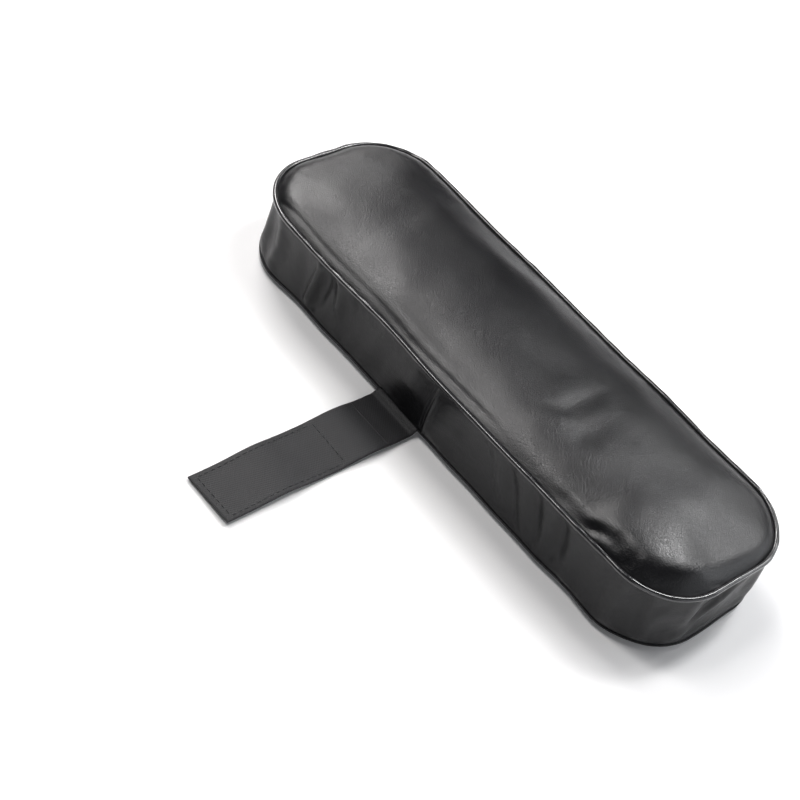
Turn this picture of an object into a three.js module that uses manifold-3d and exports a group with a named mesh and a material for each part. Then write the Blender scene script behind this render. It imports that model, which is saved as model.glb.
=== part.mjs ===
// Chair armrest pad: a sewn cover over a two-layer foam core, with a zip along
// the far side and two touch-fastening straps that close round an armrest.
//
// Units are millimetres. +X runs along the pad from rear to front, +Y across it
// from the near side to the far, zipped side, +Z up. The origin is the centre
// of the underside, on the face that lies on the armrest.

import * as THREE from "three";
import * as BufferGeometryUtils from "three/addons/utils/BufferGeometryUtils.js";
import Module from "manifold-3d";

const wasm = await Module();
wasm.setup();

// --------------------------------------------------------- shared dimensions
// Dimensions of a single part stand at the head of its section.

const PAD_LENGTH = 248;
const PAD_WIDTH = 80;
const CORNER_RADIUS = 28;
const HALF_LENGTH = PAD_LENGTH / 2;
const HALF_WIDTH = PAD_WIDTH / 2;
const CORNER_X = HALF_LENGTH - CORNER_RADIUS; // corner centres
const CORNER_Y = HALF_WIDTH - CORNER_RADIUS;
const LEATHER = 1.0; // cover material thickness

const BAND_BOTTOM = 1.5;
const BAND_TOP = 27.4;
const BAND_SEAM_X = -2; // vertical join of the two side bands, near side
const BAND_FAR_END_X = 85; // where the bands meet the zip panel, far side

const STRAP_X = -15; // centre of both straps along the pad
const STRAP_WIDTH = 25;
const STRAP_X0 = STRAP_X - STRAP_WIDTH / 2;
const STRAP_X1 = STRAP_X + STRAP_WIDTH / 2;

// The straps pass out through notches in the lower edge of the sides.
const NOTCH_CLEARANCE = 0.5;
const NOTCH_X0 = STRAP_X0 - NOTCH_CLEARANCE;
const NOTCH_X1 = STRAP_X1 + NOTCH_CLEARANCE;
const NOTCH_TOP = 2.9;

// ----------------------------------------------------------------- materials

const PU_BLACK = { color: 0x1b1b1f, roughness: 0.38, metalness: 0 };
const PIPING_BLACK = { color: 0x1e1e22, roughness: 0.34, metalness: 0 };
const CORD_GREY = { color: 0x8f8d88, roughness: 0.85, metalness: 0 };
const BASE_FABRIC = { color: 0x222224, roughness: 0.8, metalness: 0 };
const MEMORY_FOAM = { color: 0xe9e2c8, roughness: 0.9, metalness: 0 };
const SUPPORT_FOAM = { color: 0xc9cdd2, roughness: 0.9, metalness: 0 };
const WEBBING = { color: 0x232326, roughness: 0.7, metalness: 0 };
const HOOK_TAPE = { color: 0x19191b, roughness: 0.6, metalness: 0 };
const LOOP_TAPE = { color: 0x1d1d20, roughness: 0.95, metalness: 0 };
const ZIP_TAPE = { color: 0x1a1a1c, roughness: 0.85, metalness: 0 };
const ZIP_NYLON = { color: 0x202022, roughness: 0.45, metalness: 0 };
const ZIP_METAL = { color: 0x3a3a3e, roughness: 0.32, metalness: 0.9 };
const THREAD = { color: 0x2c2c30, roughness: 0.7, metalness: 0 };

// ------------------------------------------------------------------- helpers

const part = new THREE.Group();

function add(name, geometry, look) {
  const mesh = new THREE.Mesh(geometry, new THREE.MeshStandardMaterial(look));
  mesh.name = name;
  part.add(mesh);
}

function onCircle(radius, degrees) {
  const angle = (degrees * Math.PI) / 180;
  return [radius * Math.cos(angle), radius * Math.sin(angle)];
}

function indexedGeometry(positions, indices) {
  const geometry = new THREE.BufferGeometry();
  geometry.setAttribute("position", new THREE.Float32BufferAttribute(positions, 3));
  geometry.setIndex(indices);
  geometry.computeVertexNormals();
  return geometry;
}

// A closed triangle mesh from a point list and face list: shared vertices
// are merged, collapsed triangles dropped, and the faces turned outwards.
function closedMesh(points, faces) {
  const known = new Map();
  const merged = [];
  const remap = points.map((point) => {
    const key = point.map((v) => Math.round(v * 1e4)).join(",");
    if (!known.has(key)) {
      known.set(key, merged.length);
      merged.push(point);
    }
    return known.get(key);
  });
  let triangles = faces
    .map((face) => face.map((i) => remap[i]))
    .filter(([a, b, c]) => a !== b && b !== c && a !== c);
  const at = (i) => new THREE.Vector3(...merged[i]);
  let volume = 0;
  for (const [a, b, c] of triangles) volume += at(a).dot(at(b).cross(at(c)));
  if (volume < 0) triangles = triangles.map(([a, b, c]) => [a, c, b]);
  return indexedGeometry(merged.flat(), triangles.flat());
}

// Faces that join rings of equal length one to the next and, with loop set,
// the last to the first.
function facesBetween(rings, loop) {
  const n = rings[0].length;
  const faces = [];
  const joins = loop ? rings.length : rings.length - 1;
  for (let r = 0; r < joins; r++) {
    const s = (r + 1) % rings.length;
    for (let i = 0; i < n; i++) {
      const j = (i + 1) % n;
      faces.push([r * n + i, r * n + j, s * n + j], [r * n + i, s * n + j, s * n + i]);
    }
  }
  return faces;
}

// Joined rings. Without loop, the first and last must have no area.
function loft(rings, loop = false) {
  return closedMesh(rings.flat(), facesBetween(rings, loop));
}

// Joined sections along an open path, with a flat cap at each end.
function strip(sections) {
  const corners = sections[0].length;
  const end = (sections.length - 1) * corners;
  const faces = facesBetween(sections, false);
  for (let i = 1; i < corners - 1; i++) {
    faces.push([0, i + 1, i], [end, end + i, end + i + 1]);
  }
  return closedMesh(sections.flat(), faces);
}

function block([x0, x1], [y0, y1], [z0, z1]) {
  const box = new THREE.BoxGeometry(x1 - x0, y1 - y0, z1 - z0);
  return box.translate((x0 + x1) / 2, (y0 + y1) / 2, (z0 + z1) / 2);
}

// A straight extrusion up from z = 0. An outline with holes runs anticlockwise.
function extrude(points, depth, holes = []) {
  const trace = (path, [first, ...rest]) => {
    path.moveTo(...first);
    for (const point of rest) path.lineTo(...point);
    return path.closePath();
  };
  const shape = trace(new THREE.Shape(), points);
  shape.holes = holes.map((hole) => trace(new THREE.Path(), hole));
  return new THREE.ExtrudeGeometry(shape, { depth, bevelEnabled: false });
}

// An [x, y] outline between two heights.
function alongZ(points, [z0, z1], holes) {
  return extrude(points, z1 - z0, holes).translate(0, 0, z0);
}

// An upright plate: an [x, z] outline, its +Y face at outerY.
function uprightPlate(points, outerY, thickness, holes) {
  return extrude(points, thickness, holes).rotateX(Math.PI / 2).translate(0, outerY, 0);
}

// A [y, z] profile run along X.
function alongX(profile, [x0, x1]) {
  const { position } = extrude(profile, x1 - x0).attributes;
  const points = [];
  for (let i = 0; i < position.count; i++) {
    points.push([x0 + position.getZ(i), position.getX(i), position.getY(i)]);
  }
  const faces = Array.from({ length: position.count / 3 }, (_, t) => [3 * t, 3 * t + 1, 3 * t + 2]);
  return closedMesh(points, faces);
}

function toManifold(geometry) {
  const bare = geometry.clone();
  bare.deleteAttribute("normal");
  bare.deleteAttribute("uv");
  const welded = BufferGeometryUtils.mergeVertices(bare, 1e-4);
  return new wasm.Manifold(
    new wasm.Mesh({
      numProp: 3,
      vertProperties: new Float32Array(welded.attributes.position.array),
      triVerts: new Uint32Array(welded.index.array),
    }),
  );
}

function union(...geometries) {
  const joined = geometries.map(toManifold).reduce((all, next) => all.add(next));
  const mesh = joined.getMesh();
  return indexedGeometry(mesh.vertProperties, Array.from(mesh.triVerts));
}

// --------------------------------------------------------------- pad outline

const CORNER_STEPS = 6;
const SIDE_STATIONS = [
  -CORNER_X, -BAND_FAR_END_X, -64, -46, NOTCH_X0, NOTCH_X1, 20, 42, 64, BAND_FAR_END_X, CORNER_X,
];

// An outline point has a place and an outward direction (outX, outY).
const nearPoint = (x) => ({ x, y: -HALF_WIDTH, outX: 0, outY: -1 });
const farPoint = (x) => ({ x, y: HALF_WIDTH, outX: 0, outY: 1 });

// The middle of an end and the start of its next corner. endSign is +1 front.
function endPoints(endSign) {
  return [0, endSign * CORNER_Y].map((y) => ({
    x: endSign * HALF_LENGTH,
    y,
    outX: endSign,
    outY: 0,
  }));
}

// The first steps of a corner, past its starting point.
function cornerPoints(signX, signY, startAngle, steps) {
  return Array.from({ length: steps }, (_, i) => {
    const [outX, outY] = onCircle(1, startAngle + (90 * (i + 1)) / CORNER_STEPS);
    return {
      x: signX * CORNER_X + CORNER_RADIUS * outX,
      y: signY * CORNER_Y + CORNER_RADIUS * outY,
      outX,
      outY,
    };
  });
}

// Anticlockwise seen from above, starting at the rear of the near side.
const outline = [
  ...SIDE_STATIONS.map(nearPoint),
  ...cornerPoints(1, -1, -90, CORNER_STEPS),
  ...endPoints(1),
  ...cornerPoints(1, 1, 0, CORNER_STEPS - 1),
  ...[...SIDE_STATIONS].reverse().map(farPoint),
  ...cornerPoints(-1, 1, 90, CORNER_STEPS),
  ...endPoints(-1),
  ...cornerPoints(-1, -1, 180, CORNER_STEPS - 1),
];

// The outline moved inwards by an offset.
const ringAt = (offset) => outline.map((p) => [p.x - offset * p.outX, p.y - offset * p.outY]);
const flat = (ring, z) => ring.map(([x, y]) => [x, y, z]);

// The same ring drawn in towards the crest line: 1 is the ring, 0 the line.
const CREST_HALF_LENGTH = 84; // the crown is highest along this centre line
function drawnIn(ring, t) {
  return ring.map(([x, y], i) => {
    const crestX = THREE.MathUtils.clamp(outline[i].x, -CREST_HALF_LENGTH, CREST_HALF_LENGTH);
    return [crestX + t * (x - crestX), t * y];
  });
}

// A ring of no area, which closes a flat face.
const closing = (ring, z) => flat(drawnIn(ring, 0), z);

// A section of [outward, up] points swept round the whole outline.
function around(section, centreOffset, centreZ) {
  const rings = section.map(([out, up]) => flat(ringAt(centreOffset - out), centreZ + up));
  return loft(rings, true);
}

// --------------------------------------------------------- top, bottom panels

const PANEL_EDGE_OFFSET = 2.1;
const PANEL_EDGE_Z = 28.9;
const PANEL_INNER_OFFSET = 7.2; // inside this ring the surface draws in to the crest
const PANEL_OFFSETS = [PANEL_EDGE_OFFSET, 4.5, PANEL_INNER_OFFSET];
const DRAW_STEPS = [0.8, 0.55, 0.28, 0];
const CROWN = 7; // rise from edge to crest
const CROWN_POWER = 2.2;

const BOTTOM_THICKNESS = 1.2;
const BOTTOM_CHAMFER = 0.4;

// Distance in from the outline.
function inset(x, y) {
  const pastX = Math.abs(x) - CORNER_X;
  const pastY = Math.abs(y) - CORNER_Y;
  const beyond = Math.hypot(Math.max(pastX, 0), Math.max(pastY, 0));
  return CORNER_RADIUS - beyond - Math.min(Math.max(pastX, pastY), 0);
}

// Height of the top panel's underside. outwards is 0 at the crest, 1 at the edge.
function panelUnderside(x, y) {
  const edge = 1 - PANEL_EDGE_OFFSET / HALF_WIDTH;
  const outwards = Math.min(Math.max(1 - inset(x, y) / HALF_WIDTH, 0) / edge, 1);
  return PANEL_EDGE_Z + CROWN * (1 - outwards ** CROWN_POWER);
}
const crowned = (ring, lift) => ring.map(([x, y]) => [x, y, panelUnderside(x, y) + lift]);

const innerRing = ringAt(PANEL_INNER_OFFSET);
const drawnRings = DRAW_STEPS.map((t) => drawnIn(innerRing, t));

function topPanel() {
  const rings = [...PANEL_OFFSETS.map(ringAt), ...drawnRings];
  return loft([
    ...[...rings].reverse().map((ring) => crowned(ring, LEATHER)),
    ...rings.map((ring) => crowned(ring, 0)),
  ]);
}

function bottomPanel() {
  const side = ringAt(0);
  const underside = ringAt(BOTTOM_CHAMFER);
  return loft([
    closing(underside, 0),
    flat(underside, 0),
    flat(side, BOTTOM_CHAMFER),
    flat(side, BOTTOM_THICKNESS),
    closing(side, BOTTOM_THICKNESS),
  ]);
}

add("top_panel", topPanel(), PU_BLACK);
add("bottom_panel", bottomPanel(), BASE_FABRIC);

// -------------------------------------------------------------------- piping
// A folded strip round a cord, its flange sewn in under the top panel.

const PIPING_CENTRE_OFFSET = 0.4;
const PIPING_CENTRE_Z = 29;
const PIPING_RADIUS = 1.4;
const PIPING_WALL = 0.35;
const PIPING_ARC_STEPS = 8;
const PIPING_ARC_END = 155; // degrees either way from straight outwards
const CORD_RADIUS = 0.75;
const CORD_SIDES = 6;
const FLANGE_REACH = 4.1; // inward from the cord's centre
const FLANGE_BOTTOM = -0.75; // from the cord's centre
const FLANGE_TOP = -0.4;

function pipingCover() {
  const arc = (radius, from, to) =>
    Array.from({ length: PIPING_ARC_STEPS + 1 }, (_, i) =>
      onCircle(radius, from + ((to - from) * i) / PIPING_ARC_STEPS),
    );
  const section = [
    ...arc(PIPING_RADIUS, PIPING_ARC_END, -PIPING_ARC_END),
    [-FLANGE_REACH, FLANGE_BOTTOM],
    [-FLANGE_REACH, FLANGE_TOP],
    ...arc(PIPING_RADIUS - PIPING_WALL, -PIPING_ARC_END, PIPING_ARC_END),
  ];
  return around(section, PIPING_CENTRE_OFFSET, PIPING_CENTRE_Z);
}

function pipingCord() {
  const section = Array.from({ length: CORD_SIDES }, (_, i) =>
    onCircle(CORD_RADIUS, (i * 360) / CORD_SIDES),
  );
  return around(section, PIPING_CENTRE_OFFSET, PIPING_CENTRE_Z);
}

add("top_piping_cover", pipingCover(), PIPING_BLACK);
add("top_piping_cord", pipingCord(), CORD_GREY);

// ---------------------------------------------------------------- side bands
// Two strips that meet at the near-side seam and run round the ends to the
// zip panel. The near strap's notch is in the rear band, next to the seam.

const BAND_SEAM_GAP = 0.5;
const NOTCH_SLOPE = 0.3; // length over which the rear band's edge steps down

function bandSection(point, bottom) {
  const at = (offset, z) => [point.x - offset * point.outX, point.y - offset * point.outY, z];
  return [at(0, bottom), at(0, BAND_TOP), at(LEATHER, BAND_TOP), at(LEATHER, bottom)];
}
const plainSections = (points) => points.map((point) => bandSection(point, BAND_BOTTOM));

// Outline points round one end, from the near side to the far side.
function aroundEnd(endSign) {
  const angle = ({ x, y }) => Math.atan2(y, Math.abs(x));
  return outline
    .filter((point) => endSign * point.x > BAND_FAR_END_X + 0.1)
    .sort((a, b) => angle(a) - angle(b));
}

function frontBand() {
  const sideStations = SIDE_STATIONS.filter((x) => x > 0 && x < CORNER_X);
  return strip(
    plainSections([
      nearPoint(BAND_SEAM_X + BAND_SEAM_GAP / 2),
      ...sideStations.map(nearPoint),
      ...aroundEnd(1),
      farPoint(BAND_FAR_END_X),
    ]),
  );
}

function rearBand() {
  const sideStations = SIDE_STATIONS.filter((x) => x < NOTCH_X0 && x > -CORNER_X).reverse();
  return strip([
    bandSection(nearPoint(BAND_SEAM_X - BAND_SEAM_GAP / 2), NOTCH_TOP),
    bandSection(nearPoint(NOTCH_X0), NOTCH_TOP),
    ...plainSections([
      nearPoint(NOTCH_X0 - NOTCH_SLOPE),
      ...sideStations.map(nearPoint),
      ...aroundEnd(-1),
      farPoint(-BAND_FAR_END_X),
    ]),
  ]);
}

add("front_side_band", frontBand(), PU_BLACK);
add("rear_side_band", rearBand(), PU_BLACK);

// ----------------------------------------------------------------- foam core

const FOAM_OFFSET = 4.0;
const FOAM_BOTTOM = 3.2;
const FOAM_CHAMFER = 1.2; // lower edge
const FOAM_SPLIT = 15.9;
const FOAM_SPLIT_GAP = 0.3; // between the two layers
const FOAM_SIDE_TOP = 26.4;
const FOAM_SHOULDER_OFFSET = 5.9; // ring between the side and the crown
const FOAM_SHOULDER_Z = 27.6;
const FOAM_GAP = 0.4; // below the top panel

const foamSide = ringAt(FOAM_OFFSET);

function supportFoam() {
  const underside = ringAt(FOAM_OFFSET + FOAM_CHAMFER);
  const top = FOAM_SPLIT - FOAM_SPLIT_GAP / 2;
  return loft([
    closing(underside, FOAM_BOTTOM),
    flat(underside, FOAM_BOTTOM),
    flat(foamSide, FOAM_BOTTOM + FOAM_CHAMFER),
    flat(foamSide, top),
    closing(foamSide, top),
  ]);
}

function memoryFoam() {
  const bottom = FOAM_SPLIT + FOAM_SPLIT_GAP / 2;
  return loft([
    closing(foamSide, bottom),
    flat(foamSide, bottom),
    flat(foamSide, FOAM_SIDE_TOP),
    flat(ringAt(FOAM_SHOULDER_OFFSET), FOAM_SHOULDER_Z),
    ...[innerRing, ...drawnRings].map((ring) => crowned(ring, -FOAM_GAP)),
  ]);
}

add("support_foam_base", supportFoam(), SUPPORT_FOAM);
add("memory_foam_layer", memoryFoam(), MEMORY_FOAM);

// ------------------------------------------------------ zip panel and coils

const ZIP_CENTRE_Z = 14.5;
const ZIP_GAP = 0.9; // between the two closed rows
const OPENING_HALF = 3.7; // from the zip's centre to either leather edge
const ZIP_BAND_HALF_LENGTH = BAND_FAR_END_X - 0.4;
const OPENING_BOTTOM = ZIP_CENTRE_Z - OPENING_HALF;
const TAPE_X = [-84, 84];
const TAPE_Y = [38.0, 38.6];
const COIL_HALF_LENGTH = 78;
const COIL_WIDTH = 1.65;
const COIL_BASE_Y = 38.8;
// Half-round coil section: [z away from the zip's centre, y out from the base].
const COIL_SECTION = [
  [0, 0], [COIL_WIDTH, 0], [COIL_WIDTH, 0.9],
  [COIL_WIDTH * 0.72, 1.6], [COIL_WIDTH * 0.28, 1.75], [0, 1.2],
];
const STOP_X = [78.4, 80.8];
const STOP_Y = [38.9, 40.5];
const STOP_Z = [ZIP_CENTRE_Z - 1.6, ZIP_CENTRE_Z + 1.6];

// Lower edge of the zip panel, with the far strap's notch, as [x, z].
const LOWER_BAND_OUTLINE = [
  [-ZIP_BAND_HALF_LENGTH, BAND_BOTTOM],
  [NOTCH_X0, BAND_BOTTOM],
  [NOTCH_X0, NOTCH_TOP],
  [NOTCH_X1, NOTCH_TOP],
  [NOTCH_X1, BAND_BOTTOM],
  [ZIP_BAND_HALF_LENGTH, BAND_BOTTOM],
  [ZIP_BAND_HALF_LENGTH, OPENING_BOTTOM],
  [-ZIP_BAND_HALF_LENGTH, OPENING_BOTTOM],
];

// direction is +1 for the upper row, -1 for the lower.
function coilRow(direction) {
  const edgeZ = ZIP_CENTRE_Z + (direction * ZIP_GAP) / 2;
  const profile = COIL_SECTION.map(([away, out]) => [COIL_BASE_Y + out, edgeZ + direction * away]);
  return alongX(profile, [-COIL_HALF_LENGTH, COIL_HALF_LENGTH]);
}

add(
  "zip_band_upper",
  block(
    [-ZIP_BAND_HALF_LENGTH, ZIP_BAND_HALF_LENGTH],
    [HALF_WIDTH - LEATHER, HALF_WIDTH],
    [ZIP_CENTRE_Z + OPENING_HALF, BAND_TOP],
  ),
  PU_BLACK,
);
add("zip_band_lower", uprightPlate(LOWER_BAND_OUTLINE, HALF_WIDTH, LEATHER), PU_BLACK);
add("zip_tape_upper", block(TAPE_X, TAPE_Y, [15.6, 24.5]), ZIP_TAPE);
add("zip_tape_lower", block(TAPE_X, TAPE_Y, [4.3, 13.4]), ZIP_TAPE);
add("zip_coil_upper", coilRow(1), ZIP_NYLON);
add("zip_coil_lower", coilRow(-1), ZIP_NYLON);
add("zip_stop_front", block(STOP_X, STOP_Y, STOP_Z), ZIP_METAL);
add("zip_stop_rear", block([-STOP_X[1], -STOP_X[0]], STOP_Y, STOP_Z), ZIP_METAL);

// ------------------------------------------------------- zip slider and pull

const SLIDER_X = 72; // closed end of the travel; the slider runs to -72
const WING_THICKNESS = 0.8;
const OUTER_WING_Y = 41.7; // outer faces of the two plates
const INNER_WING_Y = 37.4;
const BAIL_HALF_WIDTH = 0.8;
const PULL_LENGTH = 20;
const PULL_THICKNESS = 0.9;
const PULL_HALF_WIDTH = 3;
const PULL_HINGE_Y = 42.4;
const HINGE_RADIUS = 0.5;
const HINGE_SIDES = 10;

// Outlines as [x, z] from the slider's centre.
const WING = [[-4, -2.4], [2.4, -3.6], [4, -2.6], [4, 2.6], [2.4, 3.6], [-4, 2.4]];
const PULL_TAB = [
  [0, -PULL_HALF_WIDTH],
  [0, PULL_HALF_WIDTH],
  [-6, PULL_HALF_WIDTH],
  [-8, 2.4],
  [-PULL_LENGTH + 3, PULL_HALF_WIDTH],
  [-PULL_LENGTH + 0.9, 2.1],
  [-PULL_LENGTH, 0],
  [-PULL_LENGTH + 0.9, -2.1],
  [-PULL_LENGTH + 3, -PULL_HALF_WIDTH],
  [-8, -2.4],
  [-6, -PULL_HALF_WIDTH],
];
const PULL_WINDOW = [[-0.5, -1.3], [-3.3, -1.3], [-3.3, 1.3], [-0.5, 1.3]];
const PULL_TIP_HOLE = [[-15.6, -1.1], [-17.4, -0.7], [-17.4, 0.7], [-15.6, 1.1]];

// The loop that carries the pull, as [x from the slider's centre, y].
const BAIL = [
  [-2.4, 41.5], [-1.4, 41.5], [-1.4, 43.2], [1.4, 43.2], [1.4, 41.5],
  [2.4, 41.5], [2.4, 43.5], [1.9, 44.0], [-1.9, 44.0], [-2.4, 43.5],
];

const atSlider = (points) => points.map(([x, z]) => [SLIDER_X + x, ZIP_CENTRE_Z + z]);

// Two plates joined by the divider that parts the rows, with the bail outside.
function slider() {
  const wing = atSlider(WING);
  return union(
    uprightPlate(wing, OUTER_WING_Y, WING_THICKNESS),
    uprightPlate(wing, INNER_WING_Y, WING_THICKNESS),
    block(
      [SLIDER_X + 0.4, SLIDER_X + 3.6],
      [36.9, 41.4],
      [ZIP_CENTRE_Z - 0.25, ZIP_CENTRE_Z + 0.25],
    ),
    alongZ(
      BAIL.map(([x, y]) => [SLIDER_X + x, y]),
      [ZIP_CENTRE_Z - BAIL_HALF_WIDTH, ZIP_CENTRE_Z + BAIL_HALF_WIDTH],
    ),
  );
}

// A flat tab whose window clears the bail, with the bar that it turns on.
function pull() {
  const holes = [PULL_WINDOW, PULL_TIP_HOLE].map(atSlider);
  const outerY = PULL_HINGE_Y + PULL_THICKNESS / 2;
  const tab = uprightPlate(atSlider(PULL_TAB), outerY, PULL_THICKNESS, holes);
  const bar = new THREE.CylinderGeometry(
    HINGE_RADIUS,
    HINGE_RADIUS,
    2 * PULL_HALF_WIDTH,
    HINGE_SIDES,
  );
  bar.rotateX(Math.PI / 2).translate(SLIDER_X, PULL_HINGE_Y, ZIP_CENTRE_Z);
  return union(tab, bar);
}

add("zip_slider", slider(), ZIP_METAL);
add("zip_pull", pull(), ZIP_METAL);

// -------------------------------------------------------------------- straps

const STRAP_TOP = -0.4;
const STRAP_THICKNESS = 1.0;
const FIELD_Z = [-2.1, -1.45];
const FIELD_WIDTH = 23;
const FIELD_X = [STRAP_X - FIELD_WIDTH / 2, STRAP_X + FIELD_WIDTH / 2];
const ROOT_FOLD_Y = 41.4; // both straps fold at this distance from the centre line
const FOLD_CLEARANCE = 1.0;
// side is -1 near, +1 far. The margins are from the ends of the touch-fastening
// field to the strap's end and to its tip fold.
const HOOK_STRAP = { side: -1, tipFoldY: -67.4, endY: -132.5, endMargin: 1.5, foldMargin: 6 };
const LOOP_STRAP = { side: 1, tipFoldY: 17.8, endY: -28.6, endMargin: 1, foldMargin: 3 };

// Sewn-in root as [distance from the centre line, z]: flat inside the cover,
// out through the notch, then down to the fold.
const ANCHOR_PROFILE = [
  [31, 1.6], [40.6, 1.6], [40.6, 0.3], [41.6, 0.3], [41.6, 2.2], [41.2, 2.6], [31, 2.6],
];

function addStrap(name, { side, tipFoldY, endY, endMargin, foldMargin }, fieldLook) {
  const anchor = ANCHOR_PROFILE.map(([distance, z]) => [side * distance, z]);
  const tape = (spanY) =>
    block([STRAP_X0, STRAP_X1], spanY, [STRAP_TOP - STRAP_THICKNESS, STRAP_TOP]);
  const baseSpan = [tipFoldY + FOLD_CLEARANCE, side * ROOT_FOLD_Y - FOLD_CLEARANCE];
  const fieldSpan = [endY + endMargin, tipFoldY - foldMargin];
  add(`${name}_strap_anchor`, alongX(anchor, [STRAP_X0, STRAP_X1]), WEBBING);
  add(`${name}_strap_base`, tape(baseSpan), WEBBING);
  add(`${name}_strap_end`, tape([endY, tipFoldY - FOLD_CLEARANCE]), WEBBING);
  add(`${name}_field`, block(FIELD_X, fieldSpan, FIELD_Z), fieldLook);
}

addStrap("hook", HOOK_STRAP, HOOK_TAPE);
addStrap("loop", LOOP_STRAP, LOOP_TAPE);

// -------------------------------------------------------------------- thread

const SEAM_SECTION = [[0, 0.17], [-0.15, -0.1], [0.15, -0.1]]; // [outward, up]
const LOOP_THREAD_WIDTH = 0.3;
const LOOP_THREAD_X = [FIELD_X[0] + 1, FIELD_X[1] - 1];
const ANCHOR_THREAD_Z = [2.72, 2.98];
const ZIP_STITCH_X = [-83, 83];
const ZIP_STITCH_Y = [40.15, 40.4];

// A rectangular run of stitching as one closed loop.
function threadLoop([y0, y1], spanZ) {
  const [x0, x1] = LOOP_THREAD_X;
  const rectangle = (w) => [
    [x0 + w, y0 + w],
    [x1 - w, y0 + w],
    [x1 - w, y1 - w],
    [x0 + w, y1 - w],
  ];
  return alongZ(rectangle(0), spanZ, [rectangle(LOOP_THREAD_WIDTH)]);
}

add("top_seam_thread", around(SEAM_SECTION, 3.4, 27.85), THREAD);
add("bottom_seam_thread", around(SEAM_SECTION, 1.6, 3.1), THREAD);
add(
  "hook_field_thread",
  threadLoop(
    [HOOK_STRAP.endY + 2.6, HOOK_STRAP.tipFoldY - 7.2],
    [STRAP_TOP + 0.1, STRAP_TOP + 0.3],
  ),
  THREAD,
);
add(
  "loop_field_thread",
  threadLoop(
    [LOOP_STRAP.endY + 2.2, LOOP_STRAP.tipFoldY - 4.2],
    [STRAP_TOP + 0.08, STRAP_TOP + 0.26],
  ),
  THREAD,
);
add("hook_anchor_thread", threadLoop([-38.0, -32.4], ANCHOR_THREAD_Z), THREAD);
add("loop_anchor_thread", threadLoop([32.4, 37.6], ANCHOR_THREAD_Z), THREAD);
add(
  "band_join_thread",
  block([BAND_SEAM_X - 0.15, BAND_SEAM_X + 0.15], [-38.7, -38.4], [4.2, 26.6]),
  THREAD,
);
add("zip_stitch_upper", block(ZIP_STITCH_X, ZIP_STITCH_Y, [19.5, 19.8]), THREAD);
add("zip_stitch_lower", block(ZIP_STITCH_X, ZIP_STITCH_Y, [9.2, 9.5]), THREAD);

export default part;
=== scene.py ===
import bpy
import math
import numpy as np
from mathutils import Matrix, Vector


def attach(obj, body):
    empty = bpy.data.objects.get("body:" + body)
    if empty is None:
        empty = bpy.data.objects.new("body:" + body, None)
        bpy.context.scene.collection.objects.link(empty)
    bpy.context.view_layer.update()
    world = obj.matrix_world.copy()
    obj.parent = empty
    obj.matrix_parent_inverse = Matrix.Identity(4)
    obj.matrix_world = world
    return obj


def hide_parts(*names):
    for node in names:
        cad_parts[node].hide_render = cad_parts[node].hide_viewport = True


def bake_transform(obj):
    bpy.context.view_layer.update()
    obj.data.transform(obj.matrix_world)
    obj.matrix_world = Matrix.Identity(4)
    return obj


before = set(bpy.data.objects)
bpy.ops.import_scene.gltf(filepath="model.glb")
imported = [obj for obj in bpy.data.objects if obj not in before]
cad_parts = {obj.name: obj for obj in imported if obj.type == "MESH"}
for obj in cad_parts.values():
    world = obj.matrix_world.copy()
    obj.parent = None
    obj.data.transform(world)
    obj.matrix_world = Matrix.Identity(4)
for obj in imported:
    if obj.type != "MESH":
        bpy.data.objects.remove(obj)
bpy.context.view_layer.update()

HALF_LENGTH, HALF_WIDTH, CORNER = 124.0, 40.0, 28.0
ARC_X, ARC_Y = HALF_LENGTH - CORNER, HALF_WIDTH - CORNER  # centres of the corner arcs
OUTLINE_STEP = 0.25
ZIP_HALF = 85.0  # half the length of the zip opening
JOIN_X = -2.0  # join seam between the front and rear bands
SEAM_Z = 28.9  # mean height of the top seam
TOP_INSET = 1.3  # edge of the top panel, in from the outline
BAND_INSET_TOP, BAND_INSET_BASE = 1.1, 0.55  # edges of the side bands
BAND_DROP = 0.75  # top edge of the bands below the top seam
LEATHER_THICK = 0.8

STRAP_X = -15.0  # centre of both straps
TAPE_WIDTH = 24.6
HOOK_THICK, LOOP_THICK = 0.9, 0.8
TAPE_Z = -0.92  # centre height of a tape lying flat


def detail(full, draft):
    """A mesh count: always the full one; draft is not used."""
    return full


# ----------------------------------------------------------------- outline


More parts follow.
